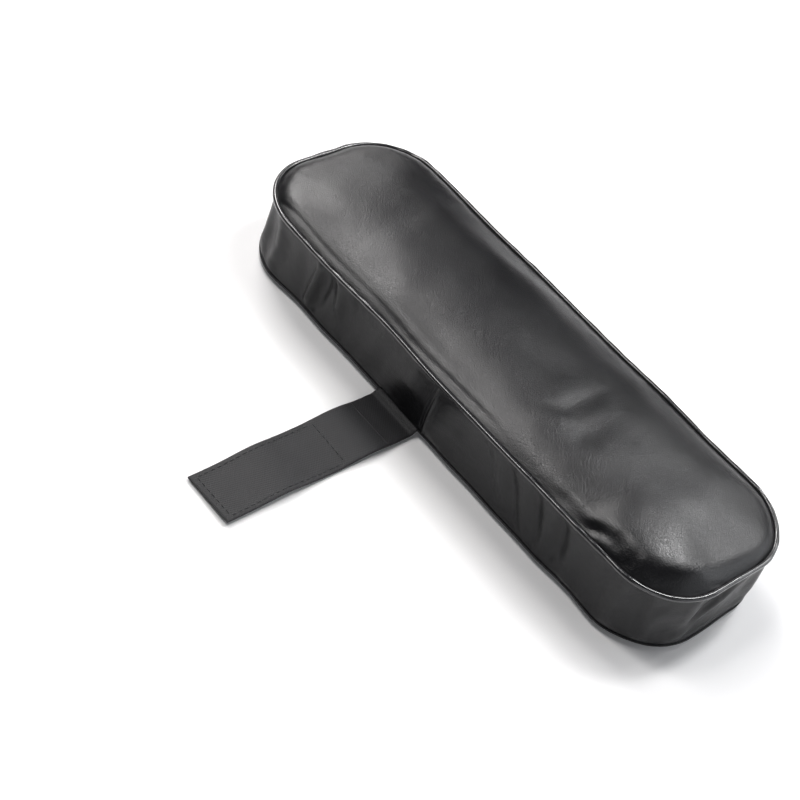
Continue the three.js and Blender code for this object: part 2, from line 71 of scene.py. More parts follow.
def outline_table():
    """Points, outward angles and runs round the outline, the zip's run, the whole run.

    Clockwise seen from above, from the zip's front end on the far side.
    """
    points, angles, runs = [], [], []
    total = 0.0

    def line(x0, y0, x1, y1, angle):
        nonlocal total
        length = math.hypot(x1 - x0, y1 - y0)
        count = int(length / OUTLINE_STEP)
        for i in range(count):
            part = i / count
            points.append((x0 + (x1 - x0) * part, y0 + (y1 - y0) * part))
            angles.append(angle)
            runs.append(total + length * part)
        total += length

    def arc(x, y, first, last):
        nonlocal total
        length = CORNER * abs(math.radians(last - first))
        count = int(length / OUTLINE_STEP)
        for i in range(count):
            angle = math.radians(first + (last - first) * i / count)
            points.append((x + CORNER * math.cos(angle), y + CORNER * math.sin(angle)))
            angles.append(angle)
            runs.append(total + length * i / count)
        total += length

    line(ZIP_HALF, HALF_WIDTH, ARC_X, HALF_WIDTH, math.pi / 2)
    arc(ARC_X, ARC_Y, 90, 0)
    line(HALF_LENGTH, ARC_Y, HALF_LENGTH, -ARC_Y, 0.0)
    arc(ARC_X, -ARC_Y, 0, -90)
    line(ARC_X, -HALF_WIDTH, -ARC_X, -HALF_WIDTH, -math.pi / 2)
    arc(-ARC_X, -ARC_Y, -90, -180)
    line(-HALF_LENGTH, -ARC_Y, -HALF_LENGTH, ARC_Y, -math.pi)
    arc(-ARC_X, ARC_Y, -180, -270)
    line(-ARC_X, HALF_WIDTH, -ZIP_HALF, HALF_WIDTH, -1.5 * math.pi)
    zip_start = total
    line(-ZIP_HALF, HALF_WIDTH, ZIP_HALF, HALF_WIDTH, -1.5 * math.pi)
    return np.array(points), np.array(angles), np.array(runs), zip_start, total


POINTS, ANGLES, RUNS, ZIP_START, PERIMETER = outline_table()


def outline(run, inward=0.0):
    """Points on the outline at run, drawn in by inward, and the outward normals."""
    run = np.mod(np.asarray(run, float), PERIMETER)
    runs = np.r_[RUNS, PERIMETER]
    x = np.interp(run, runs, np.r_[POINTS[:, 0], POINTS[0, 0]])
    y = np.interp(run, runs, np.r_[POINTS[:, 1], POINTS[0, 1]])
    angle = np.interp(run, runs, np.r_[ANGLES, ANGLES[0] - 2 * math.pi])
    outward = np.c_[np.cos(angle), np.sin(angle)]
    return np.c_[x, y] - np.asarray(inward)[..., None] * outward, outward


def inset(x, y):
    """How far a point lies inside the outline."""
    past_x, past_y = np.abs(x) - ARC_X, np.abs(y) - ARC_Y
    outside = np.hypot(np.maximum(past_x, 0), np.maximum(past_y, 0))
    return CORNER - outside - np.minimum(np.maximum(past_x, past_y), 0)


def near_run(x):
    """Run of a point on the near side."""
    quarter = CORNER * math.pi / 2
    start = (ARC_X - ZIP_HALF) + quarter + 2 * ARC_Y + quarter
    return start + (ARC_X - np.asarray(x, float))


def run_of(x, y):
    """Run of the outline point nearest to each (x, y)."""
    places = np.c_[np.asarray(x, float).ravel(), np.asarray(y, float).ravel()]
    coarse, coarse_runs = POINTS[::4], RUNS[::4]
    nearest = np.empty(len(places))
    block = 4000  # keeps the distance table small
    for i in range(0, len(places), block):
        gap = ((places[i : i + block, None] - coarse[None]) ** 2).sum(-1)
        nearest[i : i + block] = coarse_runs[gap.argmin(1)]
    return nearest.reshape(np.shape(x))


def ring_runs(count):
    return np.arange(count) * PERIMETER / count


# ------------------------------------------------------------ smooth fields

rng = np.random.default_rng(20)


def waves(count, shortest, longest):
    """A smooth random field over a plane: plane waves between two wavelengths."""
    heading = rng.normal(size=(count, 2))
    heading /= np.linalg.norm(heading, axis=1)[:, None]
    length = np.exp(rng.uniform(np.log(shortest), np.log(longest), count))
    turns = heading * (2 * math.pi / length)[:, None]
    phase = rng.uniform(0, 2 * math.pi, count)
    size = np.sqrt(length / longest)
    size = size / np.sqrt((size**2).sum() / 2)

    def field(*place):
        place = np.stack([np.asarray(axis, float) for axis in place], -1)
        return (size * np.sin(place @ turns.T + phase)).sum(-1)

    return field


def ring_waves(count, shortest, longest):
    """A smooth random function of the run that closes on itself."""
    cycles = rng.integers(int(PERIMETER / longest), int(PERIMETER / shortest) + 1, count)
    phase = rng.uniform(0, 2 * math.pi, count)
    size = 1 / np.sqrt(cycles)
    size = size / np.sqrt((size**2).sum() / 2)

    def field(run):
        run = np.asarray(run, float)
        return (size * np.sin(2 * math.pi * run[..., None] * cycles / PERIMETER + phase)).sum(-1)

    return field


# The fields share one generator, so their order sets their shapes.
seam_in_waves = ring_waves(7, 40, 200)
seam_up_waves = ring_waves(7, 36, 180)
base_in_waves = ring_waves(8, 25, 170)
top_long_waves = waves(10, 45, 130)
top_short_waves = waves(14, 14, 42)
roll_waves = ring_waves(8, 40, 250)
band_long_waves = waves(12, 26, 90)
band_short_waves = waves(14, 9, 24)
piping_waves = ring_waves(8, 8, 40)
pile_waves = waves(30, 0.7, 3.0)


def bell(value, centre, width):
    return np.exp(-(((value - centre) / width) ** 2))


def ease(value, start, end):
    """A smooth step from 0 at start to 1 at end."""
    part = np.clip((value - start) / (end - start), 0, 1)
    return part * part * (3 - 2 * part)


# --------------------------------------------------------------- mesh tools


def make_mesh(name, verts, faces, smooth=True):
    mesh = bpy.data.meshes.new(name)
    metres = np.asarray(verts, float) * 0.001
    mesh.from_pydata(metres.tolist(), [], [list(map(int, face)) for face in faces])
    mesh.validate()
    if smooth:
        # end caps with many sides stay flat
        flags = [len(face.vertices) <= 4 for face in mesh.polygons]
        mesh.polygons.foreach_set("use_smooth", flags)
    mesh.update()
    obj = bpy.data.objects.new(name, mesh)
    bpy.context.scene.collection.objects.link(obj)
    return obj


def grid_faces(rows, columns, closed_rows=False, closed_columns=False):
    faces = []
    for i in range(rows if closed_rows else rows - 1):
        j = (i + 1) % rows
        for k in range(columns if closed_columns else columns - 1):
            m = (k + 1) % columns
            faces.append((i * columns + k, j * columns + k, j * columns + m, i * columns + m))
    return faces


def bar_faces(rings, sides):
    """Faces of an open run of closed rings, with both ends capped."""
    first = tuple(range(sides))
    last = tuple((rings - 1) * sides + i for i in range(sides))
    return grid_faces(rings, sides, False, True) + [first[::-1], last]


def loft(rings):
    """A closed solid through rings of points, from the topmost ring's cap to the last's."""
    count, levels = len(rings[0]), len(rings)
    faces = grid_faces(count, levels, True)
    faces.append(tuple(i * levels + levels - 1 for i in range(count)))
    faces.append(tuple(i * levels for i in range(count))[::-1])
    return np.stack(rings, 1).reshape(-1, 3), faces


def flipped(faces):
    return [tuple(reversed(face)) for face in faces]


def merge(parts):
    """One vertex and face list from many."""
    verts, faces, start = [], [], 0
    for part_verts, part_faces in parts:
        verts.append(part_verts)
        faces += [tuple(i + start for i in face) for face in part_faces]
        start += len(part_verts)
    return np.concatenate(verts), faces


def take(verts, faces, mask):
    """The faces picked by mask, with only the vertices they use."""
    kept = [faces[i] for i in np.nonzero(mask)[0]]
    used = np.unique(np.array([i for face in kept for i in face]))
    index = -np.ones(len(verts), int)
    index[used] = np.arange(len(used))
    return verts[used], [tuple(index[list(face)]) for face in kept]


def evaluated(obj):
    """(vertices, faces) of an object with its modifiers, in its mesh's units."""
    result = obj.evaluated_get(bpy.context.evaluated_depsgraph_get())
    mesh = result.to_mesh()
    verts = np.zeros(len(mesh.vertices) * 3)
    mesh.vertices.foreach_get("co", verts)
    faces = [tuple(face.vertices) for face in mesh.polygons]
    result.to_mesh_clear()
    return verts.reshape(-1, 3), faces


def drop(obj):
    mesh = obj.data
    bpy.data.objects.remove(obj)
    bpy.data.meshes.remove(mesh)


def subdivide(verts, faces):
    obj = make_mesh("tmp", verts, faces)
    subsurf = obj.modifiers.new("s", "SUBSURF")
    subsurf.levels = subsurf.render_levels = 1
    subsurf.boundary_smooth = "PRESERVE_CORNERS"
    verts, faces = evaluated(obj)
    drop(obj)
    return verts * 1000.0, faces


def normals(verts, faces):
    obj = make_mesh("tmp", verts, faces)
    result = np.zeros(len(obj.data.vertices) * 3)
    obj.data.vertices.foreach_get("normal", result)
    drop(obj)
    return result.reshape(-1, 3)


def side_normals(path):
    """Unit vectors a quarter turn from the direction of a 2-D path."""
    heading = np.gradient(path, axis=0)
    heading /= np.linalg.norm(heading, axis=1)[:, None]
    return np.c_[-heading[:, 1], heading[:, 0]]


SIM_SCALE = 0.01  # millimetres to simulation units, ten times life size


def cloth(verts, faces, rest, pin, frames, pressure, bending, limit):
    """The surface after its slack has settled under the core's push.

    pin is a weight per vertex; no vertex moves further than limit.
    """
    mesh = bpy.data.meshes.new("cloth")
    sim_verts = (verts * SIM_SCALE).tolist()
    mesh.from_pydata(sim_verts, [], [list(map(int, face)) for face in faces])
    obj = bpy.data.objects.new("cloth", mesh)
    bpy.context.scene.collection.objects.link(obj)
    group = obj.vertex_groups.new(name="pin")
    for i, weight in enumerate(pin):
        if weight > 0:
            group.add([i], float(weight), "REPLACE")
    obj.shape_key_add(name="Basis")
    rest_key = obj.shape_key_add(name="rest")
    rest_key.data.foreach_set("co", (rest * SIM_SCALE).astype(np.float32).ravel())
    rest_key.value = 0.0
    modifier = obj.modifiers.new("Cloth", "CLOTH")
    settings = modifier.settings
    settings.quality = 6
    settings.mass = 0.15
    settings.air_damping = 2.0
    settings.tension_stiffness = 25.0
    settings.compression_stiffness = 25.0
    settings.shear_stiffness = 8.0
    settings.bending_stiffness = bending
    settings.tension_damping = settings.compression_damping = 8.0
    settings.bending_damping = 1.0
    settings.use_pressure = True
    settings.uniform_pressure_force = pressure
    settings.vertex_group_mass = "pin"
    settings.pin_stiffness = 5.0
    settings.rest_shape_key = rest_key
    settings.effector_weights.gravity = 0.0
    modifier.collision_settings.use_collision = False
    modifier.point_cache.frame_start = 1
    modifier.point_cache.frame_end = frames
    scene = bpy.context.scene
    scene.frame_start, scene.frame_end = 1, frames
    for number in range(1, frames + 1):
        scene.frame_set(number)
    settled, _ = evaluated(obj)
    drop(obj)
    scene.frame_set(1)
    move = settled / SIM_SCALE - verts
    length = np.linalg.norm(move, axis=1)
    keep = np.where(length > limit, limit / np.maximum(length, 1e-9), 1.0)
    return verts + move * keep[:, None]


def relax(verts, faces, passes, hold):
    """Light smoothing, leaving the held vertices where they are."""
    edges = set()
    for face in faces:
        for i, j in zip(face, face[1:] + face[:1]):
            edges.add((min(i, j), max(i, j)))
    edges = np.array(sorted(edges))
    verts = verts.copy()
    for _ in range(passes):
        total = np.zeros_like(verts)
        count = np.zeros(len(verts))
        for here, there in ((0, 1), (1, 0)):
            np.add.at(total, edges[:, here], verts[edges[:, there]])
        for side in (0, 1):
            np.add.at(count, edges[:, side], 1)
        average = total / count[:, None]
        verts = np.where(hold[:, None], verts, 0.5 * verts + 0.5 * average)
    return verts


# ---------------------------------------------------------------- seam lines

# The seams wander a little, as sewn ones do.


def seam_dip(run):
    """Where the top seam is drawn in and down, beside the front near corner."""
    return bell(run, near_run(90), 9.0)


def seam_inward(run):
    return 0.20 * seam_in_waves(run) + 0.7 * seam_dip(run)


def seam_z(run):
    return SEAM_Z + 0.22 * seam_up_waves(run) - 0.5 * seam_dip(run)


def base_inward(run):
    return 0.25 * base_in_waves(run)


# ----------------------------------------------------------------- top panel


def corner_steep(run):
    """1 round the front near corner, where the panel drops steeply to its seam."""
    corner_start = near_run(ARC_X) - CORNER * math.pi / 2
    ease_off = 1 - 0.16 * ease(run, near_run(99), near_run(84))
    rise = ease(run, corner_start - 12, corner_start + 14)
    return rise * ease_off * (1 - ease(run, near_run(83), near_run(74)))


def top_height(x, y, run):
    """Height of the top panel above the top seam."""
    depth = np.maximum(inset(x, y) - TOP_INSET, 0)
    steep = corner_steep(run)
    roll = 2.9 + 0.22 * roll_waves(run)
    soft = roll * (1 - np.clip(1 - depth / 5.6, 0, 1) ** 2.3)
    # a near straight slope that turns over into the flat top
    slope, flat, blend = 1.08 * depth, 7.7, 2.2
    mix = np.clip(0.5 + 0.5 * (flat - slope) / blend, 0, 1)
    hard = flat + (slope - flat) * mix - blend * mix * (1 - mix)
    height = soft * (1 - steep) + hard * steep
    # the crown, rising to the middle line
    height += (5.1 - 4.5 * steep) * (1 - np.clip(1 - depth / 38.7, 0, 1) ** 2.1)
    # the crown arches a little along the pad as well
    return height + (0.5 - 2.5 * (x / 112.0) ** 2) * ease(depth, 0, 16)


def top_blank():
    """The smooth top panel: vertices, faces and which vertices lie on its edge."""
    arc_count = detail(26, 14)
    middle_count = detail(110, 56)
    row_count = detail(45, 25)
    radius = CORNER - TOP_INSET
    # columns along the pad: even on the straight, by angle on the corners
    arc = np.linspace(0, math.pi / 2, arc_count + 1)[1:]
    end_x = ARC_X + radius * np.sin(arc)
    end_y = ARC_Y + radius * np.cos(arc)
    column_x = np.r_[-end_x[::-1], np.linspace(-ARC_X, ARC_X, middle_count), end_x]
    column_y = np.r_[end_y[::-1], np.full(middle_count, HALF_WIDTH - TOP_INSET), end_y]
    # rows across, closer together towards the seams
    crowding = 0.62
    rows = np.linspace(-1, 1, row_count)
    rows = np.sin(rows * math.pi / 2 * crowding) / math.sin(math.pi / 2 * crowding)
    x = np.repeat(column_x[:, None], row_count, 1)
    y = column_y[:, None] * rows[None]
    edge = np.zeros_like(x, bool)
    edge[0] = edge[-1] = True
    edge[:, 0] = edge[:, -1] = True
    run = run_of(x, y)
    # the seam's wander fades out within 15 mm of the outline
    fade = 1 - ease(inset(x, y), TOP_INSET, 15)
    _, outward = outline(run.ravel())
    outward = outward.reshape(x.shape + (2,))
    inward = seam_inward(run) * fade
    z = seam_z(run) * fade + SEAM_Z * (1 - fade) + top_height(x, y, run)
    verts = np.stack([x - inward * outward[..., 0], y - inward * outward[..., 1], z], -1)
    return verts.reshape(-1, 3), grid_faces(len(column_x), row_count), edge.ravel()


# Mounds and hollows near the front near corner: height, centre x, reach along x,
# centre y, reach along y, slope of the centre line in y per x
TOP_MOUNDS = (
    (0.75, 87.0, 16.0, -20.0, 12.0, 0.0),  # a fuller lobe
    (-0.8, 80.5, 6.0, -36.0, 1.9, 0.25),  # the pinch
    (0.9, 88.0, 4.2, -36.9, 1.7, 0.0),  # short puckers either side of it
    (-0.35, 66.0, 8.0, -36.2, 2.2, 0.0),
)


def top_relief(x, y):
    """Creases, hollows and puckers of the top panel, outward positive."""
    run = run_of(x, y)
    depth = inset(x, y)
    inner = ease(depth, 1.6, 4.5)
    height = 0.13 * top_long_waves(x, y) * inner * ease(depth, 4, 20)
    height += 0.028 * top_short_waves(x, y) * inner
    # a long crease just inside the near seam, fading out past the middle
    crease_y = -35.7 + 0.40 * np.sin(x / 19.0) + 0.22 * np.sin(x / 8.3 + 1)
    along = ease(x, -114, -104) * (1 - ease(x, 8, 34))
    deep = 0.23 + 0.09 * np.sin(x / 23.0 + 0.6)
    height -= along * deep * bell(y, crease_y, 0.80) * (np.abs(x) < 118)
    height += along * 0.16 * bell(y, crease_y + 3.4, 2.6)
    # two shallow hollows across the crown in front of the middle, the first
    # bending back towards the near seam, with a low ridge behind it
    valley = x - 36.5 + 8.5 * ease(-y, 8, 22)
    height -= 0.58 * bell(valley, 0, 4.6) * bell(y, -5, 15)
    height += 0.12 * bell(x, 27, 5.5) * bell(y, -4, 14)
    reach = np.where(x < 48.5, 11.0, 5.0)
    height -= 0.72 * bell(x, 48.5, reach) * bell(y, -11.5, 9.5)
    for size, mound_x, reach_x, mound_y, reach_y, slope in TOP_MOUNDS:
        centre_y = mound_y + slope * (x - mound_x)
        height += size * bell(x, mound_x, reach_x) * bell(y, centre_y, reach_y)
    # fine puckers along the seam, stronger at the pinch
    puckers = np.sin(2 * math.pi * run / 9.3 + 1.2 * np.sin(run / 11.0))
    puckers *= 0.5 + 0.5 * np.sin(run / 17.0 + 0.7)
    strength = 0.06 + 0.10 * bell(run, near_run(80), 30)
    return height + puckers * strength * (1 - ease(depth, 3, 13)) * inner


def build_top():
    verts, faces, edge = top_blank()
    # the leather is cut a little larger than the space it closes, most of
    # all at the ends
    centre = np.array([0, 0, 28.0])
    grow = 1.007 + 0.006 * ease(np.abs(verts[:, 0]), 80, 120)
    rest = centre + (verts - centre) * grow[:, None]
    pin = edge.astype(float)
    verts = cloth(
        verts, faces, rest, pin, frames=22, pressure=1.0, bending=40.0, limit=3.0
    )
    verts = relax(verts, faces, passes=16, hold=edge)
    verts, faces = subdivide(verts, faces)
    relief = top_relief(verts[:, 0], verts[:, 1])
    return verts + normals(verts, faces) * relief[:, None], faces


# ---------------------------------------------------------------- side bands


def band_shape(run, level):
    """Inset and height of the unfolded band; level is 0 at the base, 1 at the top."""
    low, high = 0.55, seam_z(run) - BAND_DROP
    z = low + (high - low) * level
    belly = np.sin(math.pi * np.clip(level, 0, 1)) ** 0.75
    inward = (BAND_INSET_BASE + base_inward(run)) * (1 - level)
    inward = inward + (BAND_INSET_TOP + seam_inward(run)) * level - 1.35 * belly
    return inward, z


def band_folds(x, y, run, z):
    """Standing folds on the near side and at the ends, outward positive."""
    middle = np.sin(math.pi * np.clip(z / 28.0, 0, 1)) ** 0.6
    sharp = ease(z, 1, 7) * (1 - 0.5 * ease(z, 20, 28))
    # height, centre x, lean in x per z, z of that centre, width, envelope over z
    near_folds = (
        # sharp folds at the rear
        (2.3, -75.2, 0.10, 14, 1.9, sharp),
        (-1.7, -70.2, 0.12, 14, 2.8, middle),
        (1.7, -61.0, -0.15, 18, 2.3, ease(z, 8, 15)),
        (-1.1, -55.0, -0.10, 18, 3.4, middle),
        (-0.9, -82.5, -0.15, 16, 3.6, middle),
        # long slanting folds in front of the middle
        (1.0, 31.8, -0.58, 26, 3.6, ease(z, 3, 10)),
        (-0.9, 38.9, -0.60, 26, 3.0, middle),
        (1.0, 46.6, -0.45, 26, 4.0, middle),
        (-1.2, 54.6, -0.32, 26, 3.4, middle),
        (1.1, 61.8, -0.28, 26, 3.9, middle),
        (-1.3, 69.8, -0.14, 26, 3.4, middle * ease(z, 2, 9)),
        (1.1, 77.4, -0.08, 26, 4.0, middle),
        # faint ones behind the strap and in front of the middle
        (0.5, -38.0, 0.20, 14, 4.0, middle),
        (-0.5, -31.0, 0.20, 14, 3.5, middle),
        (-0.45, 13.0, 0.10, 14, 4.0, middle),
    )
    near = (y < -30).astype(float)
    height = np.zeros_like(x)
    for size, centre, lean, level, width, envelope in near_folds:
        height += near * size * bell(x, centre + lean * (z - level), width) * envelope
    # a sweeping fold round the front end, falling towards the near corner
    corner_end = near_run(ARC_X)
    fold_z = 8.0 + (corner_end - 38 - run) * 0.55
    window = bell(run, corner_end - 50, 17)
    height += 1.1 * bell(z, fold_z, 2.6) * window
    height -= 1.0 * bell(z, fold_z + 5.2, 2.8) * window
    # soft uprights at the rear near corner: height, run from the corner's middle,
    # lean in run per z, width
    rear_corner = near_run(-ARC_X) + CORNER * math.pi / 4
    for size, place, lean, width in (
        (0.7, -6, 0.15, 4.2),
        (-0.7, 3, 0.15, 4.0),
        (0.5, 18, 0.10, 5.5),
    ):
        height += size * bell(run, rear_corner + place + lean * z, width) * middle
    return height


def band_relief(x, y, run, z):
    """Folds, puckers and the join seam of the bands, outward positive."""
    free = ease(z, 0.5, 3.0) * (1 - ease(z, 25.5, 28.3))
    height = band_folds(x, y, run, z) * free
    height += (0.22 * band_long_waves(run, z) + 0.06 * band_short_waves(run, z)) * free
    # small puckers under the top seam and above the base seam
    puckers = np.sin(2 * math.pi * run / 7.9 + 1.5 * np.sin(run / 13.0))
    puckers *= 0.5 + 0.5 * np.sin(run / 19.0)
    height += 0.16 * puckers * (bell(z, 24.5, 3.0) + 0.8 * bell(z, 3.5, 2.2))
    # the join seam draws the leather in, which swells either side of it
    join = near_run(JOIN_X)
    height -= 0.55 * bell(run, join, 0.55) * ease(z, 0, 2)
    height += (0.34 * bell(run, join - 1.4, 1.0) + 0.10 * bell(run, join + 1.5, 1.1)) * free
    return height


def build_band():
    """Both side bands as one: vertices, faces and the run of each vertex."""
    join = near_run(JOIN_X)
    count = int(ZIP_START / detail(1.8, 3.5))
    before = int(round(count * join / ZIP_START))
    # columns crowd at the join seam, with one on it
    close = join + np.array([-1.5, -0.75, 0.0, 0.75, 1.5])
    columns = np.r_[
        np.linspace(0, join - 2.6, before),
        close,
        np.linspace(join + 2.6, ZIP_START, count - before),
    ]
    levels = detail(17, 10)
    run, level = np.meshgrid(columns, np.linspace(0, 1, levels), indexing="ij")
    inward, z = band_shape(run, level)
    points, _ = outline(run.ravel(), inward.ravel())
    verts = np.c_[points, z.ravel()]
    faces = grid_faces(len(columns), levels)
    flat_run, flat_level = run.ravel(), level.ravel()
    pin = np.zeros(len(verts))
    pin[(flat_level == 0) | (flat_level == 1)] = 1
    pin[(flat_run == 0) | (flat_run == ZIP_START)] = 1
    pin[np.abs(flat_run - join) < 0.01] = 0.9
    # slack along the run, more of it where the folds stand
    slack = 0.012 + 0.030 * bell(columns, near_run(-70), 22)
    slack += 0.026 * bell(columns, near_run(56), 26)
    slack += 0.022 * bell(columns, near_run(-ARC_X) + 24, 24)
    slack += 0.004 * bell(columns, near_run(ARC_X) - 30, 26)
    slack_run = np.cumsum(np.r_[0, np.diff(columns)] * (1 + slack))
    rest_x = np.repeat(slack_run[:, None], levels, 1)
    rest = np.stack([rest_x, np.zeros_like(level), level * SEAM_Z], -1).reshape(-1, 3)
    verts = cloth(
        verts, faces, rest, pin, frames=26, pressure=0.9, bending=1.6, limit=2.6
    )
    verts, faces = subdivide(verts, faces)
    x, y, z = verts.T
    run = run_of(x, y)
    # the grid faces inwards, so its normals and faces are turned over
    outward = -normals(verts, faces)
    relief = band_relief(x, y, run, z)
    return verts + outward * relief[:, None], flipped(faces), run


# ----------------------------------------------------------------- materials

FINISHES = {}


class Shader:
    """A node tree with short ways to add nodes; all textures share one mapping."""

    def __init__(self, tree):
        self.tree = tree

    def fill(self, node, inputs):
        """Link or set each input, given by name or number."""
        for key, value in inputs.items():
            if isinstance(value, bpy.types.NodeSocket):
                self.tree.links.new(value, node.inputs[key])
            else:
                node.inputs[key].default_value = value

    def node(self, kind, inputs=None, **settings):
        node = self.tree.nodes.new("ShaderNode" + kind)
        for key, value in settings.items():
            setattr(node, key, value)
        self.fill(node, inputs or {})
        return node

    def add_mapping(self):
        coords = self.node("TexCoord").outputs["Object"]
        self.place = self.node("Mapping", {"Vector": coords}).outputs["Vector"]

    def noise(self, scale, detail, rough):
        inputs = {"Scale": scale, "Detail": detail, "Roughness": rough, "Vector": self.place}
        return self.node("TexNoise", inputs).outputs["Fac"]

    def ramp(self, value, *stops):
        """Colours by value, from two (position, colour) stops."""
        node = self.node("ValToRGB", {"Fac": value})
        for element, (position, colour) in zip(node.color_ramp.elements, stops):
            element.position = position
            element.color = (*colour, 1)
        return node.outputs["Color"]

    def map_range(self, value, source, target):
        inputs = {"From Min": source[0], "From Max": source[1]}
        inputs.update({"To Min": target[0], "To Max": target[1], "Value": value})
        return self.node("MapRange", inputs).outputs["Result"]

    def math(self, operation, first, second):
        return self.node("Math", {0: first, 1: second}, operation=operation).outputs[0]

    def bump(self, height, strength, distance, normal=None):
        """A bump normal; distance is in metres."""
        inputs = {"Strength": strength, "Distance": distance, "Height": height}
        if normal is not None:
            inputs["Normal"] = normal
        return self.node("Bump", inputs).outputs["Normal"]


def new_material(name):
    """A material's shader and its surface node. Noise scales are per metre."""
    material = bpy.data.materials.new(name)
    material.use_nodes = True
    FINISHES[name] = material
    shader = Shader(material.node_tree)
    shader.add_mapping()
    return shader, material.node_tree.nodes["Principled BSDF"]


def leather(name, dark, light, rough, grain, coat=0.06):
    shader, surface = new_material(name)
    blotches = shader.noise(scale=38.0, detail=4, rough=0.55)
    colour = shader.ramp(blotches, (0.3, dark), (0.75, light))
    # grain: fine pebbles with creases between them, their edges warped
    voronoi = shader.node("TexVoronoi", {"Scale": 1150.0}, feature="DISTANCE_TO_EDGE")
    warped = shader.node("VectorMath", {0: shader.place}, operation="ADD")
    wobble = shader.node("TexNoise", {"Scale": 420.0, "Vector": shader.place})
    shift_inputs = {"Scale": 0.0008, 0: wobble.outputs["Color"]}
    shift = shader.node("VectorMath", shift_inputs, operation="SCALE")
    shader.fill(warped, {1: shift.outputs[0]})
    shader.fill(voronoi, {"Vector": warped.outputs[0]})
    cells = shader.map_range(voronoi.outputs["Distance"], source=(0.0, 0.12), target=(0.0, 1.0))
    fine = shader.noise(scale=2600.0, detail=2, rough=0.6)
    soft = shader.noise(scale=170.0, detail=3, rough=0.55)
    pebble = shader.noise(scale=420.0, detail=3, rough=0.6)
    # height, share of the grain strength, distance in metres
    normal = None
    for height, share, distance in (
        (soft, 0.35, 0.0008),
        (pebble, 0.42, 0.0005),
        (cells, 0.9, 0.00017),
        (fine, 0.9, 0.00012),
    ):
        normal = shader.bump(height, grain * share, distance, normal)
    patches = shader.noise(scale=55.0, detail=4, rough=0.6)
    rough_range = (rough - 0.035, rough + 0.045)
    shader.fill(surface, {
        "Base Color": colour,
        "IOR": 1.5,
        "Specular IOR Level": 0.55,
        "Normal": normal,
        "Roughness": shader.map_range(patches, source=(0.3, 0.7), target=rough_range),
        "Coat Weight": coat,
        "Coat Roughness": min(rough, 0.28),
    })


def woven(name, dark, light, pitch, rough=0.75, strength=0.5, sheen=0.2):
    """Plain weave of X against Y plus Z: pitch in metres."""
    shader, surface = new_material(name)
    axes = shader.node("SeparateXYZ", {0: shader.place}).outputs
    turns = math.pi / pitch
    warp = shader.math("SINE", shader.math("MULTIPLY", axes["X"], turns), 0.0)
    across = shader.math("ADD", axes["Y"], axes["Z"])
    weft = shader.math("SINE", shader.math("MULTIPLY", across, turns), 0.0)
    weave = shader.math("MULTIPLY", warp, weft)
    weave = shader.map_range(weave, source=(-1, 1), target=(0, 1))
    fibres = shader.noise(scale=1500.0, detail=2, rough=0.6)
    height = shader.math("ADD", weave, shader.math("MULTIPLY", fibres, 0.5))
    blotches = shader.noise(scale=60.0, detail=3, rough=0.6)
    tone = shader.math("MULTIPLY", height, shader.math("ADD", blotches, 0.25))
    shader.fill(surface, {
        "Base Color": shader.ramp(tone, (0.1, dark), (1.0, light)),
        "Roughness": rough,
        "Sheen Weight": sheen,
        "Sheen Roughness": 0.5,
        "Normal": shader.bump(height, strength, distance=pitch * 0.5),
    })


def plain(name, colour, rough, metal=0.0, vary=0.15, scale=300.0, strength=0.1):
    shader, surface = new_material(name)
    mottle = shader.noise(scale, detail=4, rough=0.6)
    dark = tuple(part * (1 - vary) for part in colour)
    light = tuple(min(part * (1 + vary), 1) for part in colour)
    colour = shader.ramp(mottle, (0.3, dark), (0.7, light))
    patches = shader.noise(scale * 0.4, detail=3, rough=0.5)
    rough_range = (rough * 0.85, rough * 1.15)
    shader.fill(surface, {
        "Base Color": colour,
        "Metallic": metal,
        "Roughness": shader.map_range(patches, source=(0.3, 0.7), target=rough_range),
        "Normal": shader.bump(mottle, strength, distance=0.0002),
    })


def foam(name, colour):
    shader, surface = new_material(name)
    inputs = {"Scale": 700.0, "Vector": shader.place}
    cells = shader.node("TexVoronoi", inputs).outputs["Distance"]
    dark = tuple(part * 0.72 for part in colour)
    shader.fill(surface, {
        "Base Color": shader.ramp(cells, (0.1, dark), (0.6, colour)),
        "Roughness": 0.9,
        "Normal": shader.bump(cells, strength=0.6, distance=0.0005),
    })


leather(
    "pu_leather", dark=(0.0036, 0.0036, 0.0048), light=(0.0070, 0.0070, 0.0088),
    rough=0.31, grain=0.24,
)
leather(
    "pu_piping", dark=(0.014, 0.014, 0.016), light=(0.024, 0.024, 0.0265),
    rough=0.20, grain=0.05, coat=0.95,
)
woven("base_fabric", dark=(0.010, 0.010, 0.011), light=(0.032, 0.032, 0.035), pitch=0.0009)
plain("grip_dots", colour=(0.016, 0.016, 0.017), rough=0.55)
woven(
    "strap_webbing", dark=(0.006, 0.006, 0.0075), light=(0.017, 0.017, 0.0195),
    pitch=0.00062, rough=0.58, strength=0.25, sheen=0.06,
)
plain("hook_plastic", colour=(0.014, 0.014, 0.015), rough=0.42)
plain(
    "loop_pile", colour=(0.022, 0.022, 0.024), rough=0.95, vary=0.35, scale=900.0,
    strength=0.5,
)
woven(
    "zip_tape", dark=(0.009, 0.009, 0.010), light=(0.028, 0.028, 0.030),
    pitch=0.0005, rough=0.8, strength=0.4,
)
plain("zip_nylon", colour=(0.018, 0.018, 0.019), rough=0.38)
plain(
    "zip_metal", colour=(0.10, 0.10, 0.105), rough=0.30, metal=0.9, vary=0.1,
    scale=500.0, strength=0.05,
)
plain(
    "thread", colour=(0.030, 0.030, 0.033), rough=0.6, vary=0.2, scale=2000.0, strength=0.3
)
plain(
    "piping_cord", colour=(0.42, 0.40, 0.37), rough=0.85, vary=0.2, scale=900.0,
    strength=0.4,
)
foam("memory_foam", colour=(0.85, 0.80, 0.62))
